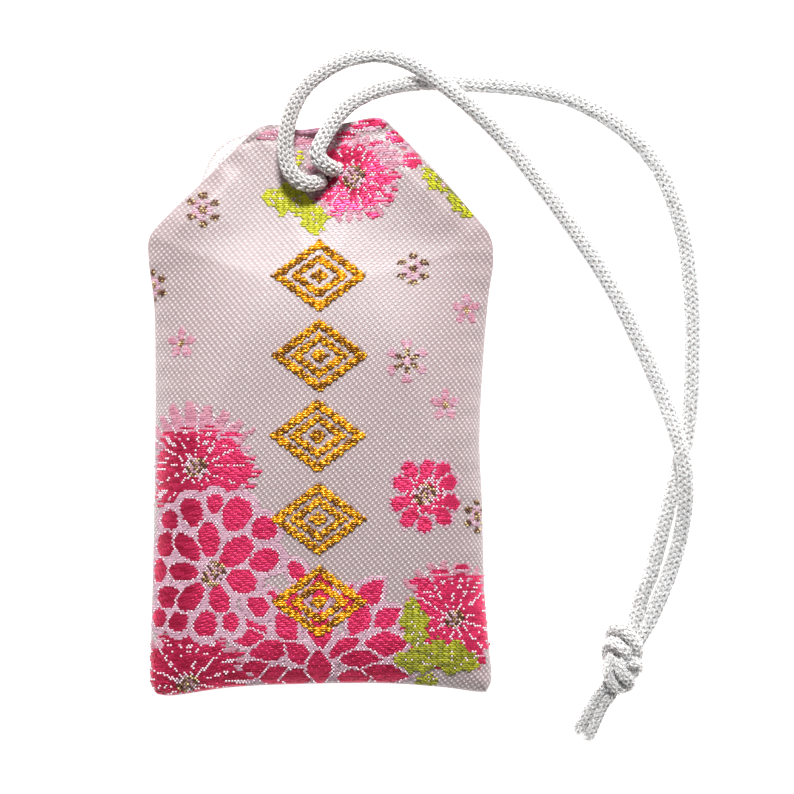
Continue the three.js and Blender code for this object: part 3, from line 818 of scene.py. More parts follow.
# The threads: each float is a thread that rises, runs over the cloth for a few tenths of a millimetre and
# dives again. The ground is a five-end satin, whose pale dots stand in slanting lines on a mauve warp. The
# petals are painted darker along the left edge and the foot, which is painted shade, and the leaves are
# painted darker towards the foot, which is painted shade, so that they are lightest near the mouth.
DOT_PITCH = 0.8
DOT_ROW = 0.386
DOT_SHIFT = -0.313
DOT_SIZE = (0.38, 0.34, 0.1)
DOT_SLANT = math.radians(78)
LONGEST_FLOAT = {PETAL: 3, FADED: 3, PALE: 3, BEAD: 1, LEAF: 2, GOLD: 2, SPECK: 1, BROWN: 1}
FLOAT_SIZE = {
    PETAL: (1.1, 0.46, 0.11), FADED: (1.06, 0.4, 0.15), PALE: (1.06, 0.4, 0.14), BEAD: (0.85, 0.32, 0.3),
    LEAF: (1.06, 0.36, 0.26), GOLD: (1.06, 0.35, 0.44), SPECK: (0.8, 0.28, 0.4), BROWN: (0.9, 0.3, 0.3),
}
SIZE_RANGE = (0.9, 1.08)
SUNK = 0.3
THREAD_EDGE = 0.2
THREAD_TONE = (0.55, 0.2)
STREAK = 4.0
STREAK_TONE = 0.3
PETAL_TONE = 0.2
# Painted shade on the petals: how much darker they are painted near the left edge and the foot.
PETAL_SHADE_TONE = 0.55
PETAL_SHADE_LEFT = (-13, -19)
PETAL_SHADE_FOOT = (-29.5, -34.5)
LEAF_TONE = 0.25
# Painted shade on the leaves: darker towards the foot, lightest near the mouth where the lamp is.
LEAF_SHADE_TONE = 0.5
LEAF_SHADE_RUN = (22, -20)
# Painted reflections on the gold and its specks: a share of floats is painted dark, the rest as bright
# glints.
DARK_REFLECTION_SHARE = 0.38
DARK_REFLECTION_TONE = 0.05
GLINT_TONE = 0.7


def pod(rings, sides):
    """A closed pod 1 mm long, wide and high, for threads and stitches: rings are (place, thickness)."""
    angles = np.arange(sides) / sides * 2 * math.pi
    vertices = [(-0.5, 0, 0)]
    for place, thickness in rings:
        vertices += [(place, math.cos(a) * thickness / 2, math.sin(a) * thickness / 2) for a in angles]
    vertices.append((0.5, 0, 0))
    last = 1 + (len(rings) - 1) * sides
    faces = []
    for k in range(sides):
        after = (k + 1) % sides
        faces.append((0, 1 + after, 1 + k))
        for row in range(len(rings) - 1):
            a, b = 1 + row * sides + k, 1 + row * sides + after
            faces.append((a, b, b + sides, a + sides))
        faces.append((len(vertices) - 1, last + k, last + after))
    return np.array(vertices), faces


def laid_tree():
    """Geometry Nodes: lays a shape on every point, turned by along and out and scaled by size, and joins the
    core to what is laid."""
    tree = bpy.data.node_groups.new("laid_on_points", "GeometryNodeTree")
    inputs = {}
    for name, kind in (
            ("Geometry", "Geometry"), ("Shape", "Object"), ("Core", "Object"), ("Material", "Material")):
        socket = tree.interface.new_socket(name, in_out="INPUT", socket_type="NodeSocket" + kind)
        inputs[name] = socket.identifier
    tree.interface.new_socket("Geometry", in_out="OUTPUT", socket_type="NodeSocketGeometry")
    nodes = {name: tree.nodes.new(kind) for name, kind in (
        ("given", "NodeGroupInput"), ("laid", "GeometryNodeInstanceOnPoints"),
        ("turn", "FunctionNodeAxesToRotation"), ("shape", "GeometryNodeObjectInfo"),
        ("core", "GeometryNodeObjectInfo"), ("real", "GeometryNodeRealizeInstances"),
        ("joined", "GeometryNodeJoinGeometry"), ("coloured", "GeometryNodeSetMaterial"),
        ("result", "NodeGroupOutput"))}
    nodes["turn"].primary_axis = "X"
    nodes["turn"].secondary_axis = "Z"
    for name in ("along", "out", "size"):
        nodes[name] = tree.nodes.new("GeometryNodeInputNamedAttribute")
        nodes[name].data_type = "FLOAT_VECTOR"
        nodes[name].inputs["Name"].default_value = name
    for start, output, end, entry in (
            ("along", 0, "turn", 0), ("out", 0, "turn", 1), ("turn", 0, "laid", "Rotation"),
            ("size", 0, "laid", "Scale"), ("given", "Geometry", "laid", "Points"),
            ("given", "Shape", "shape", 0), ("shape", "Geometry", "laid", "Instance"),
            ("given", "Core", "core", 0), ("laid", 0, "real", 0), ("real", 0, "joined", 0),
            ("core", "Geometry", "joined", 0), ("joined", 0, "coloured", "Geometry"),
            ("given", "Material", "coloured", "Material"), ("coloured", 0, "result", 0)):
        tree.links.new(nodes[start].outputs[output], nodes[end].inputs[entry])
    return tree, inputs


LAID_TREE, LAID_INPUTS = laid_tree()
LAYERS = {"FLOAT": "value", "FLOAT_VECTOR": "vector", "FLOAT_COLOR": "color"}


def add_layer(made, name, kind, values):
    """Gives each point of an object's mesh a value of its own, for a material or a tree to read."""
    layer = made.data.attributes.new(name, kind, "POINT")
    layer.data.foreach_set(LAYERS[kind], np.asarray(values, np.float32).ravel())


def settle(made):
    """Turns an object's modifiers into its plain mesh."""
    bpy.context.view_layer.update()
    evaluated = made.evaluated_get(bpy.context.evaluated_depsgraph_get())
    mesh = bpy.data.meshes.new_from_object(evaluated)
    made.modifiers.clear()
    made.data = mesh


def lay_on(name, shape, material, points, core=None, core_tone=0.0):
    """One plain mesh of a shape laid on points, joined to its core. points holds place, along, out and
    size for each copy in millimetres, and its tone for the material."""
    made = make_piece(name, points["place"], [])
    for key in ("along", "out", "size"):
        add_layer(made, key, "FLOAT_VECTOR", points[key])
    add_layer(made, "tone", "FLOAT", points["tone"])
    sources = [make_piece(name + "_shape", *shape)]
    if core:
        sources.append(make_piece(name + "_core", *core))
        add_layer(sources[1], "tone", "FLOAT", np.full(len(core[0]), core_tone))
    modifier = made.modifiers.new("laid", "NODES")
    modifier.node_group = LAID_TREE
    modifier[LAID_INPUTS["Material"]] = material
    for key, source in zip(("Shape", "Core"), sources):
        modifier[LAID_INPUTS[key]] = source
    settle(made)
    for source in sources:
        bpy.data.objects.remove(source)
    for key in ("along", "out", "size"):
        made.data.attributes.remove(made.data.attributes[key])
    return made


THREAD = pod([(-0.42, 0.7), (-0.28, 1), (0.28, 1), (0.42, 0.7)], 6)
DOT = pod([(-0.22, 0.9), (0.22, 0.9)], 6)
weave_chance = np.random.default_rng(11)


def sampled(grid, i, j):
    """A grid's values between its rows i and columns j."""
    row = np.clip(np.floor(i).astype(int), 0, grid.shape[0] - 2)
    column = np.clip(np.floor(j).astype(int), 0, grid.shape[1] - 2)
    di, dj = i - row, j - column
    if grid.ndim > 2:
        di, dj = di[:, None], dj[:, None]
    near = grid[row, column] * (1 - dj) + grid[row, column + 1] * dj
    far = grid[row + 1, column] * (1 - dj) + grid[row + 1, column + 1] * dj
    return near * (1 - di) + far * di


FIND_PASSES = 30
FIND_STEP = 0.8
FIND_MISS = 0.06


def on_panel(panel, a, b):
    """Where places on the flat cloth come to lie, as points for lay_on, and which of them are on it."""
    rows, columns = panel["a"].shape
    step_a, step_b = np.gradient(panel["a"], axis=1), np.gradient(panel["b"], axis=0)
    j = np.interp(a, panel["a"][rows // 2], np.arange(columns))
    i = np.interp(b, panel["b"][:, columns // 2], np.arange(rows))
    for _ in range(FIND_PASSES):
        miss_a, miss_b = a - sampled(panel["a"], i, j), b - sampled(panel["b"], i, j)
        j = np.clip(j + FIND_STEP * miss_a / sampled(step_a, i, j), 0, columns - 1)
        i = np.clip(i + FIND_STEP * miss_b / sampled(step_b, i, j), 0, rows - 1)
    points = {key: sampled(panel[key], i, j) for key in ("place", "along", "out")}
    return points, (np.hypot(miss_a, miss_b) < FIND_MISS) & (sampled(edge_gap, i, j) > THREAD_EDGE)


def float_runs(kind):
    """Floats in rows of cells: (row, first column, count, kind), no longer than their thread lets them be."""
    for row, cells in enumerate(kind):
        start = 0
        for column in range(1, len(cells) + 1):
            longest = LONGEST_FLOAT.get(cells[start], 1)
            ended = column == len(cells) or cells[column] != cells[start]
            if ended or (column + row) % longest == 0:
                if cells[start] != GROUND:
                    yield row, start, column - start, cells[start]
                start = column


def float_places(panel, motifs):
    """Where each kind of thread floats on a panel's flat cloth, and how long: dots for the ground."""
    rows = np.arange(panel["b"].min(), panel["b"].max(), THREAD_ROW)
    columns = np.arange(panel["a"].min(), panel["a"].max(), FLOAT_STEP)
    brick = np.arange(len(rows))[:, None] % 2 * FLOAT_STEP / 2
    a, b = np.broadcast_arrays(columns[None, :] + brick, rows[:, None])
    row, start, count, kind = np.array(list(float_runs(woven(panel, motifs, a, b)))).T
    middle_a = (a[row, start] + a[row, start + count - 1]) / 2
    dot_rows = np.arange(math.ceil(rows[0] / DOT_ROW), rows[-1] / DOT_ROW)
    dot_columns = np.arange(columns[0] // DOT_PITCH, columns[-1] / DOT_PITCH)
    dot_a = dot_columns[None, :] * DOT_PITCH + (dot_rows[:, None] * DOT_SHIFT) % DOT_PITCH
    dot_b = np.broadcast_to(dot_rows[:, None] * DOT_ROW, dot_a.shape)
    bare = woven(panel, motifs, dot_a, dot_b) == GROUND
    places = {GROUND: (dot_a[bare], dot_b[bare], np.full(bare.sum(), DOT_SIZE[0]))}
    for number, (part, *_) in FLOAT_SIZE.items():
        chosen = kind == number
        places[number] = (middle_a[chosen], rows[row[chosen]], count[chosen] * FLOAT_STEP * part)
    return places


def thread_tones(number, x, y, streak):
    """How light each thread is, by its kind and its place."""
    tone = np.clip(weave_chance.normal(*THREAD_TONE, len(x)) + STREAK_TONE * streak, 0, 1)
    if number == PETAL:
        # Painted shade: petals are painted darker towards the left edge and the foot.
        rim = np.maximum(share(x, *PETAL_SHADE_LEFT), share(y, *PETAL_SHADE_FOOT))
        tone = np.clip(tone + PETAL_TONE - PETAL_SHADE_TONE * rim, 0, 1)
    if number == LEAF:
        # Painted shade: leaves are painted darker from the mouth down towards the foot.
        tone = np.clip(tone + LEAF_TONE - LEAF_SHADE_TONE * share(y, *LEAF_SHADE_RUN), 0, 1)
    # Painted reflection: some gold floats are painted dark, the others painted as bright glints.
    if number in (GOLD, SPECK):
        dark_reflection = weave_chance.uniform(size=len(x)) < DARK_REFLECTION_SHARE
        tone = np.where(dark_reflection, DARK_REFLECTION_TONE, GLINT_TONE + tone / 2)
    return tone


def threads_on(panel, motifs, holes):
    """Points for the floats of each kind of thread on a panel, and for the dots of its ground."""
    laid = {}
    for number, (at_a, at_b, long) in float_places(panel, motifs).items():
        points, inside = on_panel(panel, at_a, at_b)
        for x, y, radius in holes:
            inside &= np.hypot(points["place"][:, 0] - x, points["place"][:, 1] - y) > radius
        points = {key: values[inside] for key, values in points.items()}
        if number == GROUND:
            up = np.cross(points["out"], points["along"])
            points["along"] = points["along"] * math.cos(DOT_SLANT) + up * math.sin(DOT_SLANT)
        wide, high = (DOT_SIZE if number == GROUND else FLOAT_SIZE[number])[1:]
        total = int(inside.sum())
        points["size"] = np.stack([long[inside], np.full(total, wide), np.full(total, high)], axis=1)
        points["size"] *= weave_chance.uniform(*SIZE_RANGE, (total, 1))
        points["place"] = points["place"] + points["out"] * high * (0.5 - SUNK)
        streak = scattered(np.round(at_b[inside] / THREAD_ROW), np.round(at_a[inside] / STREAK)) - 0.5
        points["tone"] = thread_tones(number, *points["place"].T[:2], streak)
        laid[number] = points
    return laid


THREADS = {
    GROUND: ("ground", (188, 174, 174), (212, 202, 202), {"Roughness": 0.46, "Specular_IOR_Level": 1.0}),
    PETAL: ("petal", (154, 8, 46), (242, 58, 112), {"Roughness": 0.38, "Metallic": 0.55}),
    FADED: ("faded", (158, 92, 112), (208, 148, 166), {"Roughness": 0.5}),
    PALE: ("pale", (164, 118, 138), (210, 172, 188), {"Roughness": 0.45}),
    BEAD: ("outline", (224, 194, 206), (246, 228, 234), {"Roughness": 0.42}),
    LEAF: ("leaf", (80, 80, 0), (204, 204, 24), {"Roughness": 0.45}),
    GOLD: ("gold", (88, 34, 0), (255, 178, 14), {"Roughness": 0.25, "Metallic": 0.3}),
    SPECK: ("speck", (132, 92, 34), (246, 220, 158), {"Roughness": 0.35}),
    BROWN: ("brown", (56, 24, 6), (112, 66, 34), {"Roughness": 0.5}),
}
UNDERLAY = {
    GROUND: (168, 148, 150), PETAL: (170, 16, 60), FADED: (186, 128, 142), PALE: (176, 122, 146),
    BEAD: (172, 116, 140), LEAF: (96, 96, 10), GOLD: (64, 30, 0), SPECK: (120, 84, 60), BROWN: (120, 84, 60),
}
PIT_SHADE = (0.62, 0.57, 0.59, 1)
thread_finishes = {}
for number, (name, dark, light, constants) in THREADS.items():
    fibre = "foil" if number == GOLD else "silk"
    twisted = fibrous(5000, 2, dark, light, 0.3, 0.00004, lambda tone, ply: tone * 0.75 + ply * 0.3)
    thread_finishes[number] = finish(f"{name}_{fibre}", twisted, **constants)


def cloth_looks(value):
    """The warp between the dots of the satin, with painted shade in a pit half-way from dot to dot in each
    row.
    """
    flat = attribute(value, "flat_cloth", 1)
    across = value.node("ShaderNodeSeparateXYZ", (), {0: flat})
    up = value.node("ShaderNodeSeparateXYZ", (), {0: flat}, 1)
    row = value.maths("COSINE", up * (2 * math.pi / DOT_ROW), 0)
    pit = value.maths("COSINE", (across - up * (DOT_SHIFT / DOT_ROW)) * (2 * math.pi / DOT_PITCH), 0)
    pit = value.maths("MAXIMUM", 0 - pit, 0) * value.maths("MAXIMUM", row, 0)
    tinted = {0: 1.0, 6: attribute(value, "underlay", 0), 7: pit.mixed((1, 1, 1, 1), PIT_SHADE)}
    return {
        "Base Color": value.node("ShaderNodeMix", {"data_type": "RGBA", "blend_type": "MULTIPLY"}, tinted, 2),
        "Normal": (0 - pit).bumped(0.5, 0.00006),
    }


cloth_finish = finish("brocade_ground", cloth_looks, Roughness=0.48, Specular_IOR_Level=1.0)


def make_panel(node, panel, motifs, holes):
    """A panel's cloth with its threads on it, which stands for the node."""
    vertices, faces, loop = panel_mesh(panel, holes)
    cloth = make_piece(node + "_cloth", vertices, faces, cloth_finish)
    kind = woven(panel, motifs, panel["a"], panel["b"])
    colours = np.array([rgb(*UNDERLAY[number]) for number in sorted(UNDERLAY)])[kind].reshape(-1, 4)
    flat = np.dstack([panel["a"], panel["b"], np.zeros_like(panel["a"])]).reshape(-1, 3)
    add_layer(cloth, "underlay", "FLOAT_COLOR", np.vstack([colours, *[colours[loop]] * ROLL_STEPS]))
    add_layer(cloth, "flat_cloth", "FLOAT_VECTOR", np.vstack([flat, *[flat[loop]] * ROLL_STEPS]))
    thick = cloth.modifiers.new("thick", "SOLIDIFY")
    thick.thickness = CLOTH * MM
    thick.offset = -1
    settle(cloth)
    pieces = []
    for number, points in threads_on(panel, motifs, holes).items():
        if len(points["tone"]):
            shape = DOT if LONGEST_FLOAT.get(number, 1) == 1 else THREAD
            name = f"{node}_{THREADS[number][0]}_threads"
            pieces.append(lay_on(name, shape, thread_finishes[number], points))
    for piece in (cloth, *pieces):
        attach(piece, "pouch")
    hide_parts(node)


slit = [
    (HOLE[0] + way, HOLE[1] + SLIT_SLOPE * way, blend(SLIT_HALF, HOLE_RADIUS, way ** 2))
    for way in np.linspace(-1, 1, SLIT_STEPS)
]
make_panel("front_panel", front_panel, MOTIFS, slit)
back_holes = [
    (*(HOLE[:2] + sign * BACK_HOLE_OFFSET / math.sqrt(2)), BACK_HOLE_RADIUS) for sign in (-1, 1)
]
make_panel("back_panel", back_panel, BACK_MOTIFS, back_holes)

# The seams: one line of sewing thread along the foot and each side, down in the groove where the rolled edges
# of the panels meet. Each stitch shows as a short bar between the needle holes.
SEAM_INSET = 0.34
SEAM_THREAD = 0.26
SEAM_SLACK = 0.05
SEAM_STEP = 0.5
STITCH_STEP = 1.9
BAR_SIZE = (STITCH_STEP * 0.8, SEAM_THREAD * 1.6, SEAM_THREAD * 1.6)
BAR_TONES = (0.5, 0.7)
STITCH_BAR = pod([(-0.4, 0.85), (0, 1), (0.4, 0.85)], 6)


def frames_along(line):
    """Along, side and up at each point of a line, with no more twist than its bends need."""
    along = unit(np.gradient(line, axis=0))
    side = np.empty_like(line)
    before = np.cross(along[0], (0.3, 0.2, 1))
    for i, direction in enumerate(along):
        before = unit(before - direction * (before @ direction))
        side[i] = before
    return along, side, np.cross(along, side)


def tube(line, radius, sides=12):
    """Vertices and faces of a round tube with domed ends."""
    along, side, up = frames_along(line)
    angles = np.arange(sides) / sides * 2 * math.pi
    ring = np.cos(angles)[None, :, None] * side[:, None] + np.sin(angles)[None, :, None] * up[:, None]
    vertices = (line[:, None] + radius * ring).reshape(-1, 3)
    faces = []
    for row in range(len(line) - 1):
        for k in range(sides):
            a, b = row * sides + k, row * sides + (k + 1) % sides
            faces.append((a, b, b + sides, a + sides))
    last = (len(line) - 1) * sides
    tips = [line[0] - along[0] * radius / 2, line[-1] + along[-1] * radius / 2]
    for k in range(sides):
        faces.append((len(vertices), (k + 1) % sides, k))
        faces.append((len(vertices) + 1, last + k, last + (k + 1) % sides))
    return np.vstack([vertices, tips]), faces


seam_looks = fibrous(
    4000, 2, (184, 160, 164), (240, 228, 228), 0.3, 0.00004, lambda tone, ply: tone + 0.3 * ply)
seam_finish = finish("seam_thread", seam_looks, Roughness=0.6)


def inset(line, gap, height):
    """A plan line moved to its left by gap and lifted to its height."""
    way = unit(np.gradient(line, axis=0))
    shifted = line + np.stack([-way[:, 1], way[:, 0]], axis=1) * np.reshape(gap, (-1, 1))
    return np.column_stack([shifted, np.broadcast_to(height, len(line))])


for node, edge in (("bottom_seam", bottom), ("right_side_seam", right), ("left_side_seam", left[::-1])):
    line = even_line(edge[edge[:, 1] < SHOULDER_Y], STITCH_STEP)[1:-1]
    line = inset(line, SEAM_INSET, SEAM_HEIGHT)
    bars = len(line)
    thread_line = even_line(line, SEAM_STEP)
    thread_line[:, 2] += SEAM_SLACK * np.sin(np.arange(len(thread_line)))
    points = {
        "place": line, "along": unit(np.gradient(line, axis=0)), "out": np.tile((0, 0, 1), (bars, 1)),
        "size": np.tile(BAR_SIZE, (bars, 1)), "tone": np.linspace(*BAR_TONES, bars),
    }
    seam = lay_on(node + "_stitches", STITCH_BAR, seam_finish, points, tube(thread_line, SEAM_THREAD / 2, 6))
    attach(seam, "pouch")
    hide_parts(node)

# The corner tucks: beside the mouth each corner of the cloth is folded in between the panels, and the fold
# stands out past the sewn edge, more on the left than on the right. Each has its edge, how far it stands out,
# the places up the pouch where it starts and ends, and the one where it stands out most.
TUCK = 0.56
TUCK_DEPTH = 3.0
TUCK_ROUND = 8
TUCK_STEP = 0.25
TUCK_START = SHOULDER_Y + 1.5
TUCK_UNDER = 0.2
TUCK_COLOUR = (238, 230, 230)
TUCK_TONE = (0.6, 0.2)
TUCK_DOT_ROWS = np.arange(0.5, 6.5)
TUCK_DOT_START = 0.35
TUCK_DOT_STEP = 0.8
TUCKS = {
    "left_corner_tuck": (left[::-1], 1.75, 29.2, 36.0, 32.8),
    "right_corner_tuck": (right, 0.3, 26.5, 37.0, 31.0),
}
for node, (edge, peek, low, high, most) in TUCKS.items():
    line = even_line(edge[edge[:, 1] > TUCK_START], TUCK_STEP)
    y = line[:, 1]
    bulge = np.where(y < most, (y - low) / (most - low), (high - y) / (high - most))
    bulge = peek * np.sin(math.pi / 2 * np.clip(bulge, 0, 1))
    turn = np.linspace(math.pi / 2, -math.pi / 2, TUCK_ROUND + 1)
    fold = np.stack([(1 - np.cos(turn)) / 2 * TUCK, np.sin(turn) / 2], axis=1)
    rings = np.stack([
        inset(line, depth - bulge * (depth < TUCK_DEPTH), seam_height(y) + high_up * TUCK)
        for depth, high_up in ((TUCK_DEPTH, 0.5), *fold, (TUCK_DEPTH, -0.5))
    ], axis=1)
    stations, sides = rings.shape[:2]
    index = np.arange(stations * sides).reshape(stations, sides)
    after = np.roll(index, -1, axis=1)
    faces = np.stack([index[:-1], after[:-1], after[1:], index[1:]], axis=-1).reshape(-1, 4).tolist()
    faces += [index[0, ::-1].tolist(), index[-1].tolist()]
    tuck = make_piece(node + "_cloth", rings.reshape(-1, 3), faces, cloth_finish)
    add_layer(tuck, "underlay", "FLOAT_COLOR", np.tile(rgb(*TUCK_COLOUR), stations * sides))
    add_layer(tuck, "flat_cloth", "FLOAT_VECTOR", rings.reshape(-1, 3) * (1, 1, 0))
    face = rings[:, : 2 + TUCK_ROUND // 2]
    grid = {"place": face, "along": unit(np.gradient(face, axis=0)), "out": normals(face)}
    grid["out"] *= np.sign(grid["out"][..., 2:] + TUCK_UNDER)
    run = np.arange(0, (stations - 1) * TUCK_STEP, DOT_PITCH)
    rows = TUCK_DOT_ROWS[:, None]
    dot_i, dot_j = np.broadcast_arrays(
        (run[None, :] + rows * DOT_SHIFT) / TUCK_STEP, TUCK_DOT_START + rows * TUCK_DOT_STEP)
    inside = dot_i < stations - 1
    points = {key: sampled(values, dot_i[inside], dot_j[inside]) for key, values in grid.items()}
    dots = int(inside.sum())
    points["size"] = np.tile(DOT_SIZE, (dots, 1))
    points["tone"] = np.clip(weave_chance.normal(*TUCK_TONE, dots), 0, 1)
    threads = lay_on(node + "_threads", DOT, thread_finishes[GROUND], points)
    for piece in (tuck, threads):
        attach(piece, "pouch")
    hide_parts(node)

# The cord: a white knitted tube, 2.1 mm thick, ten columns of V stitches round a soft core. Its bight goes
# through the back and holds the bridge of cloth between the two holes there.
CORD_DIAMETER = 2.1
CORE_SHARE = 0.83
WALES = 10
STITCH_PITCH = 0.78
STITCH_TILT = math.radians(24)
STITCH_SIZE = (1.0, 0.34, 0.3)
STITCH_JITTER = 0.025
STITCH_TONES = (0.78, 1)
CORD_LIFT = 0.05
# Painted shade on the cord near the hole: where the stitches are painted greyest, and how far that runs.
HOLE_SHADE_PLACE = 12
HOLE_SHADE_REACH = 14
FRAY = 34
FRAY_SPREAD = 0.2
FRAY_LIFT = 0.45
FRAY_SIZES = ((0.9, 0.09, 0.09), (1.7, 0.16, 0.16))
FRAY_TONES = (0.5, 0.95)

# The dark end of the cord's colours is painted shade: it is the core seen in the gaps between the stitches.
cord_looks = fibrous(
    6000, 2, (168, 160, 156), (253, 251, 249), 0.35, 0.00006, lambda tone, yarn: tone * (0.86 + 0.28 * yarn))
cord_finish = finish(
    "knitted_cord", cord_looks, Roughness=0.55, Sheen_Weight=0.25, Subsurface_Weight=0.8,
    Subsurface_Radius=(1, 0.95, 0.9), Subsurface_Scale=0.7 * MM)
STITCH_LEG = pod([(-0.36, 0.8), (0, 1), (0.36, 0.8)], 6)
cord_chance = np.random.default_rng(7)


def knitted(name, lines, diameter=CORD_DIAMETER, frayed=False, hole_shade=0.0, gaps=0.0):
    """A piece of knitted cord along each line: a core tube with two stitch legs to a wale and a round.
    The fifth argument is painted shade: how much greyer the stitches are painted on a stretch near the hole.
    Gaps is the core's tone, which paints shade in the gaps between the stitches, darkest at 0."""
    points = {"place": [], "along": [], "out": [], "size": [], "tone": []}
    core_vertices, core_faces = [], []
    thin = diameter / CORD_DIAMETER
    size = np.array(STITCH_SIZE) * (1, thin, thin)
    lift = diameter / 2 - size[2] / 2
    width = math.pi * diameter / WALES
    for line in lines:
        line = even_line(line, STITCH_PITCH)
        line[:, 2] = np.maximum(line[:, 2], diameter / 2 + CORD_LIFT)
        unshaded = 1 - hole_shade * bell(np.arange(len(line)) * STITCH_PITCH - HOLE_SHADE_PLACE, HOLE_SHADE_REACH)
        along, side, up = frames_along(line)
        vertices, faces = tube(even_line(line, STITCH_PITCH / 2), diameter / 2 * CORE_SHARE)
        start = sum(map(len, core_vertices))
        core_vertices.append(vertices)
        core_faces += [tuple(start + k for k in face) for face in faces]
        for wale in range(WALES):
            angle = (wale + 0.5) / WALES * 2 * math.pi
            out = math.cos(angle) * side + math.sin(angle) * up
            stagger = along * STITCH_PITCH / 2 * (wale % 2)
            across = np.cross(along, out)
            for leg in (-1, 1):
                jitter = cord_chance.normal(0, STITCH_JITTER, line.shape)
                points["place"].append(line + stagger + out * lift + leg * across * width / 4 + jitter)
                points["along"].append(along * math.cos(STITCH_TILT) + leg * across * math.sin(STITCH_TILT))
                points["out"].append(out)
                points["size"].append(np.tile(size, (len(line), 1)))
                points["tone"].append(cord_chance.uniform(*STITCH_TONES, len(line)) * unshaded)
        if frayed:
            ends = cord_chance.normal(0, FRAY_SPREAD, (FRAY, 3)) * (1, 1, 0.5)
            ends = unit(np.tile(along[-1], (FRAY, 1)) + ends)
            strewn = line[-1] + cord_chance.normal(0, diameter / 6, (FRAY, 3)) + 0.5 * ends
            strewn[:, 2] = np.maximum(strewn[:, 2], FRAY_LIFT)
            points["place"].append(strewn)
            points["along"].append(ends)
            points["out"].append(np.cross(ends, (0.2, 0.1, 1)))
            points["size"].append(cord_chance.uniform(*FRAY_SIZES, (FRAY, 3)))
            points["tone"].append(cord_chance.uniform(*FRAY_TONES, FRAY))
    points = {key: np.concatenate(values) for key, values in points.items()}
    made = lay_on(name, STITCH_LEG, cord_finish, points, (np.vstack(core_vertices), core_faces), gaps)
    return made


BIGHT_HALF = [(1.2, 4.0), (1.45, 3.75), (2.0, 3.3), (2.375, 2.325), (2.0, 1.55), (1.125, 1.11)]
bight_points = [
    (side * reach / math.sqrt(2), side * reach / math.sqrt(2), height)
    for side, half in ((-1, BIGHT_HALF), (1, BIGHT_HALF[::-1])) for reach, height in half
]
bight = knitted("bight", [HOLE + smooth_line(bight_points, STITCH_PITCH)])
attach(bight, "pouch")
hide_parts("cord_bight")

# The knot and its tails: the two strands are tied together in one overhand knot, in which the cord is drawn
# thinner, and cut off short below it, where the ends fray. Each line is one turn that shows, from end to end.
KNOT_CORD = 1.6
# The knot's core is painted lighter than the strands' core, so there is less painted shade in its gaps.
KNOT_GAP_SHADE_TONE = 0.75
KNOT_TURNS = [
    [(40.18, -63.23, 1.2), (40.4, -61.98, 2.4), (39.8, -60.62, 3.4), (38.8, -59.45, 3.6),
     (37.9, -58.95, 3.0), (37.2, -59.4, 1.8), (36.9, -60.3, 1.0)],
    [(39.12, -63.35, 2.4), (38.81, -62.36, 3.4), (37.94, -61.24, 4.0), (37.2, -60.87, 3.4),
     (36.6, -61.49, 2.0), (36.5, -62.61, 1.2)],
    [(38.19, -63.23, 2.2), (39.18, -63.41, 2.9), (40.18, -63.48, 2.6), (40.36, -64.35, 2.0),
     (39.68, -65.09, 1.5), (38.68, -65.09, 1.0)],
    [(37.19, -62.73, 3.0), (36.64, -63.85, 3.2), (36.7, -65.09, 3.0), (37.32, -66.21, 2.6),
     (38.19, -66.89, 2.0), (38.81, -66.46, 1.2)],
    [(37.82, -63.23, 3.6), (38.06, -64.22, 3.8), (38.68, -65.21, 3.3), (39.31, -65.84, 2.5),
     (39.18, -66.58, 1.5), (38.19, -66.83, 1.0)],
    [(40.18, -60.49, 1.8), (38.44, -62.23, 2.2), (37.69, -64.22, 2.2), (36.95, -66.46, 1.6)],
    [(40.2, -62.0, 1.6), (39.6, -63.6, 2.0), (39.0, -65.2, 1.7)],
    [(39.5, -61.2, 2.7), (38.6, -63.1, 3.1), (37.8, -65.2, 2.6)],
    [(38.1, -60.3, 2.2), (37.4, -62.1, 2.5), (37.2, -64.6, 2.2)],
]
knot_lines = [HOLE + smooth_line(turn, STITCH_PITCH / 2) for turn in KNOT_TURNS]
knot = knitted("knot", knot_lines, KNOT_CORD, gaps=KNOT_GAP_SHADE_TONE)
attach(knot, "cord_loop")
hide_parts("cord_knot")

TAIL_CORD = 1.6
TAILS = {
    "left_tail": [(37.44, -65.71, 1.7), (36.3, -66.8, 1.3), (34.95, -68.6, 1.0), (33.05, -71.92, 0.9)],
    "right_tail": [(37.94, -66.21, 1.4), (37.1, -67.6, 1.1), (35.9, -69.35, 0.9), (34.3, -72.95, 0.85)],
}
tails = []
for name, tail_points in TAILS.items():
    tail = knitted(name + "_cord", [HOLE + smooth_line(tail_points, STITCH_PITCH)], TAIL_CORD, frayed=True)
    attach(tail, "cord_loop")
    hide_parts(name)
    tails.append(tail)

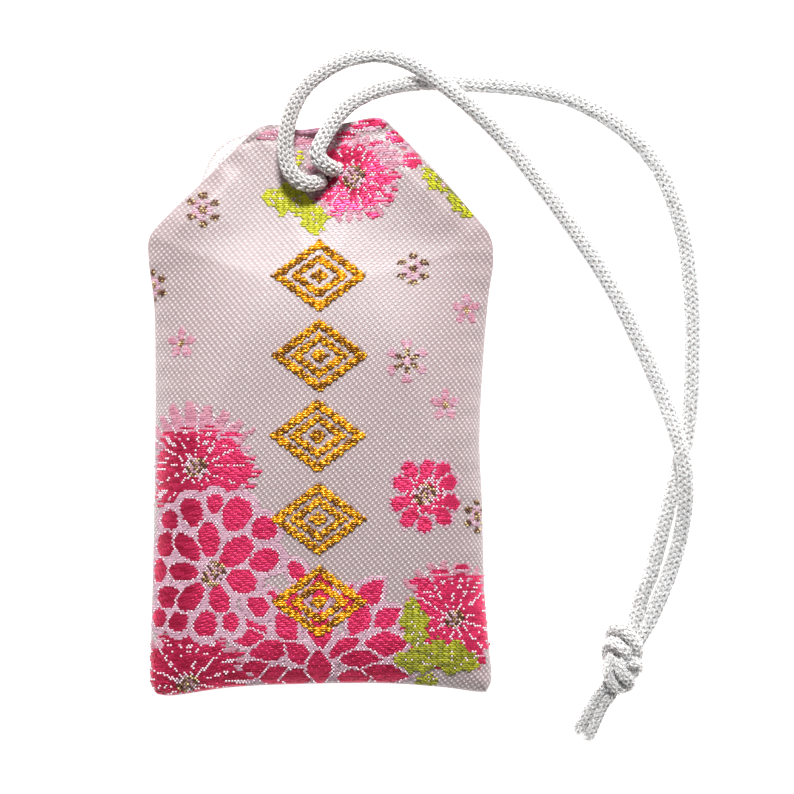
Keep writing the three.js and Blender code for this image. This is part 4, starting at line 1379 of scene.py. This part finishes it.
# The strands: both come up through the front hole, one each side, cross over the pouch's shoulder and lie
# loose on the table as far as the knot.
LEFT_ROUTE = [
    (-1.1, -0.75, 4.5), (-1.45, -0.9, 5.8), (-2.15, -1.1, 7.0), (-3.1, -1.05, 7.65), (-4.3, -0.2, 7.9),
    (-5.2, 1.5, 7.6), (-5.45, 3.5, 7.3), (-5.3, 5.8, 7.0), (-4.8, 8, 6.5), (-3.9, 10, 6.0),
    (-2.6, 11.8, 5.5), (-0.6, 13.5, 5.0), (2.4, 15.1, 4.4), (6.1, 15.8, 3.8), (8.9, 15.4, 3.55),
    (11.9, 14.1, 3.5), (14.4, 12.4, 3.5), (16.9, 10.5, 3.15), (19.5, 8.3, 2.3), (22, 5.9, 1.5),
    (25, 2.6, 1.15), (28.5, -1.9, 1.15), (32, -6.7, 1.15), (35.5, -11.9, 1.15), (38.5, -17.1, 1.15),
    (41, -22.3, 1.2), (43, -26.9, 1.5), (44.5, -30.8, 2.3), (45.6, -34.2, 3.2), (46.4, -37.5, 3.5),
    (46.7, -40.6, 3.1), (46.6, -43.5, 2.3), (46.1, -46.8, 1.5), (45.2, -50.3, 1.2), (43.6, -54.6, 1.2),
    (41.85, -58.38, 1.4), (40.92, -59.87, 1.6), (40.05, -61.24, 1.8),
]
RIGHT_ROUTE = [
    (0.5, 0.9, 4.4), (0.45, 0.95, 5.7), (-0.1, 1.25, 6.9), (-0.9, 1.85, 7.55), (-1.3, 2.8, 7.8),
    (-0.9, 4, 7.75), (-0.1, 5.5, 7.4), (1.1, 7.3, 6.9), (2.8, 9.2, 6.1), (5.3, 10.7, 4.8),
    (8.4, 11.8, 2.9), (11.2, 12.3, 1.6), (14.4, 12.4, 1.15), (18, 12.2, 1.15), (22, 12, 1.15),
    (27, 11.4, 1.15), (31.9, 10.1, 1.15), (36.9, 7.5, 1.15), (40.7, 4.4, 1.15), (43.3, 1, 1.15),
    (45, -2.7, 1.15), (46.4, -7.1, 1.15), (47.3, -12.8, 1.15), (47.7, -19.3, 1.15), (47.65, -25.3, 1.15),
    (47.4, -30.1, 1.15), (46.9, -33.9, 1.15), (46, -37.5, 1.15), (45.1, -41.2, 1.15), (44.1, -44.8, 1.15),
    (43.2, -48.4, 1.15), (42.1, -52.3, 1.15), (40.8, -55.5, 1.25), (40.05, -58.63, 1.5), (39.43, -60.25, 1.8),
    (38.93, -61.24, 1.9),
]
# The third number of each strand is the painted shade on its stretch near the hole.
STRANDS = (("left_strand", LEFT_ROUTE, 0.75, [knot, *tails]), ("right_strand", RIGHT_ROUTE, 0.4, []))
for name, route, hole_shade, pieces in STRANDS:
    line = HOLE + smooth_line(route, STITCH_PITCH)
    strand = knitted(name + "_cord", [line], hole_shade=hole_shade)
    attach(strand, "cord_loop")
    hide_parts(name)
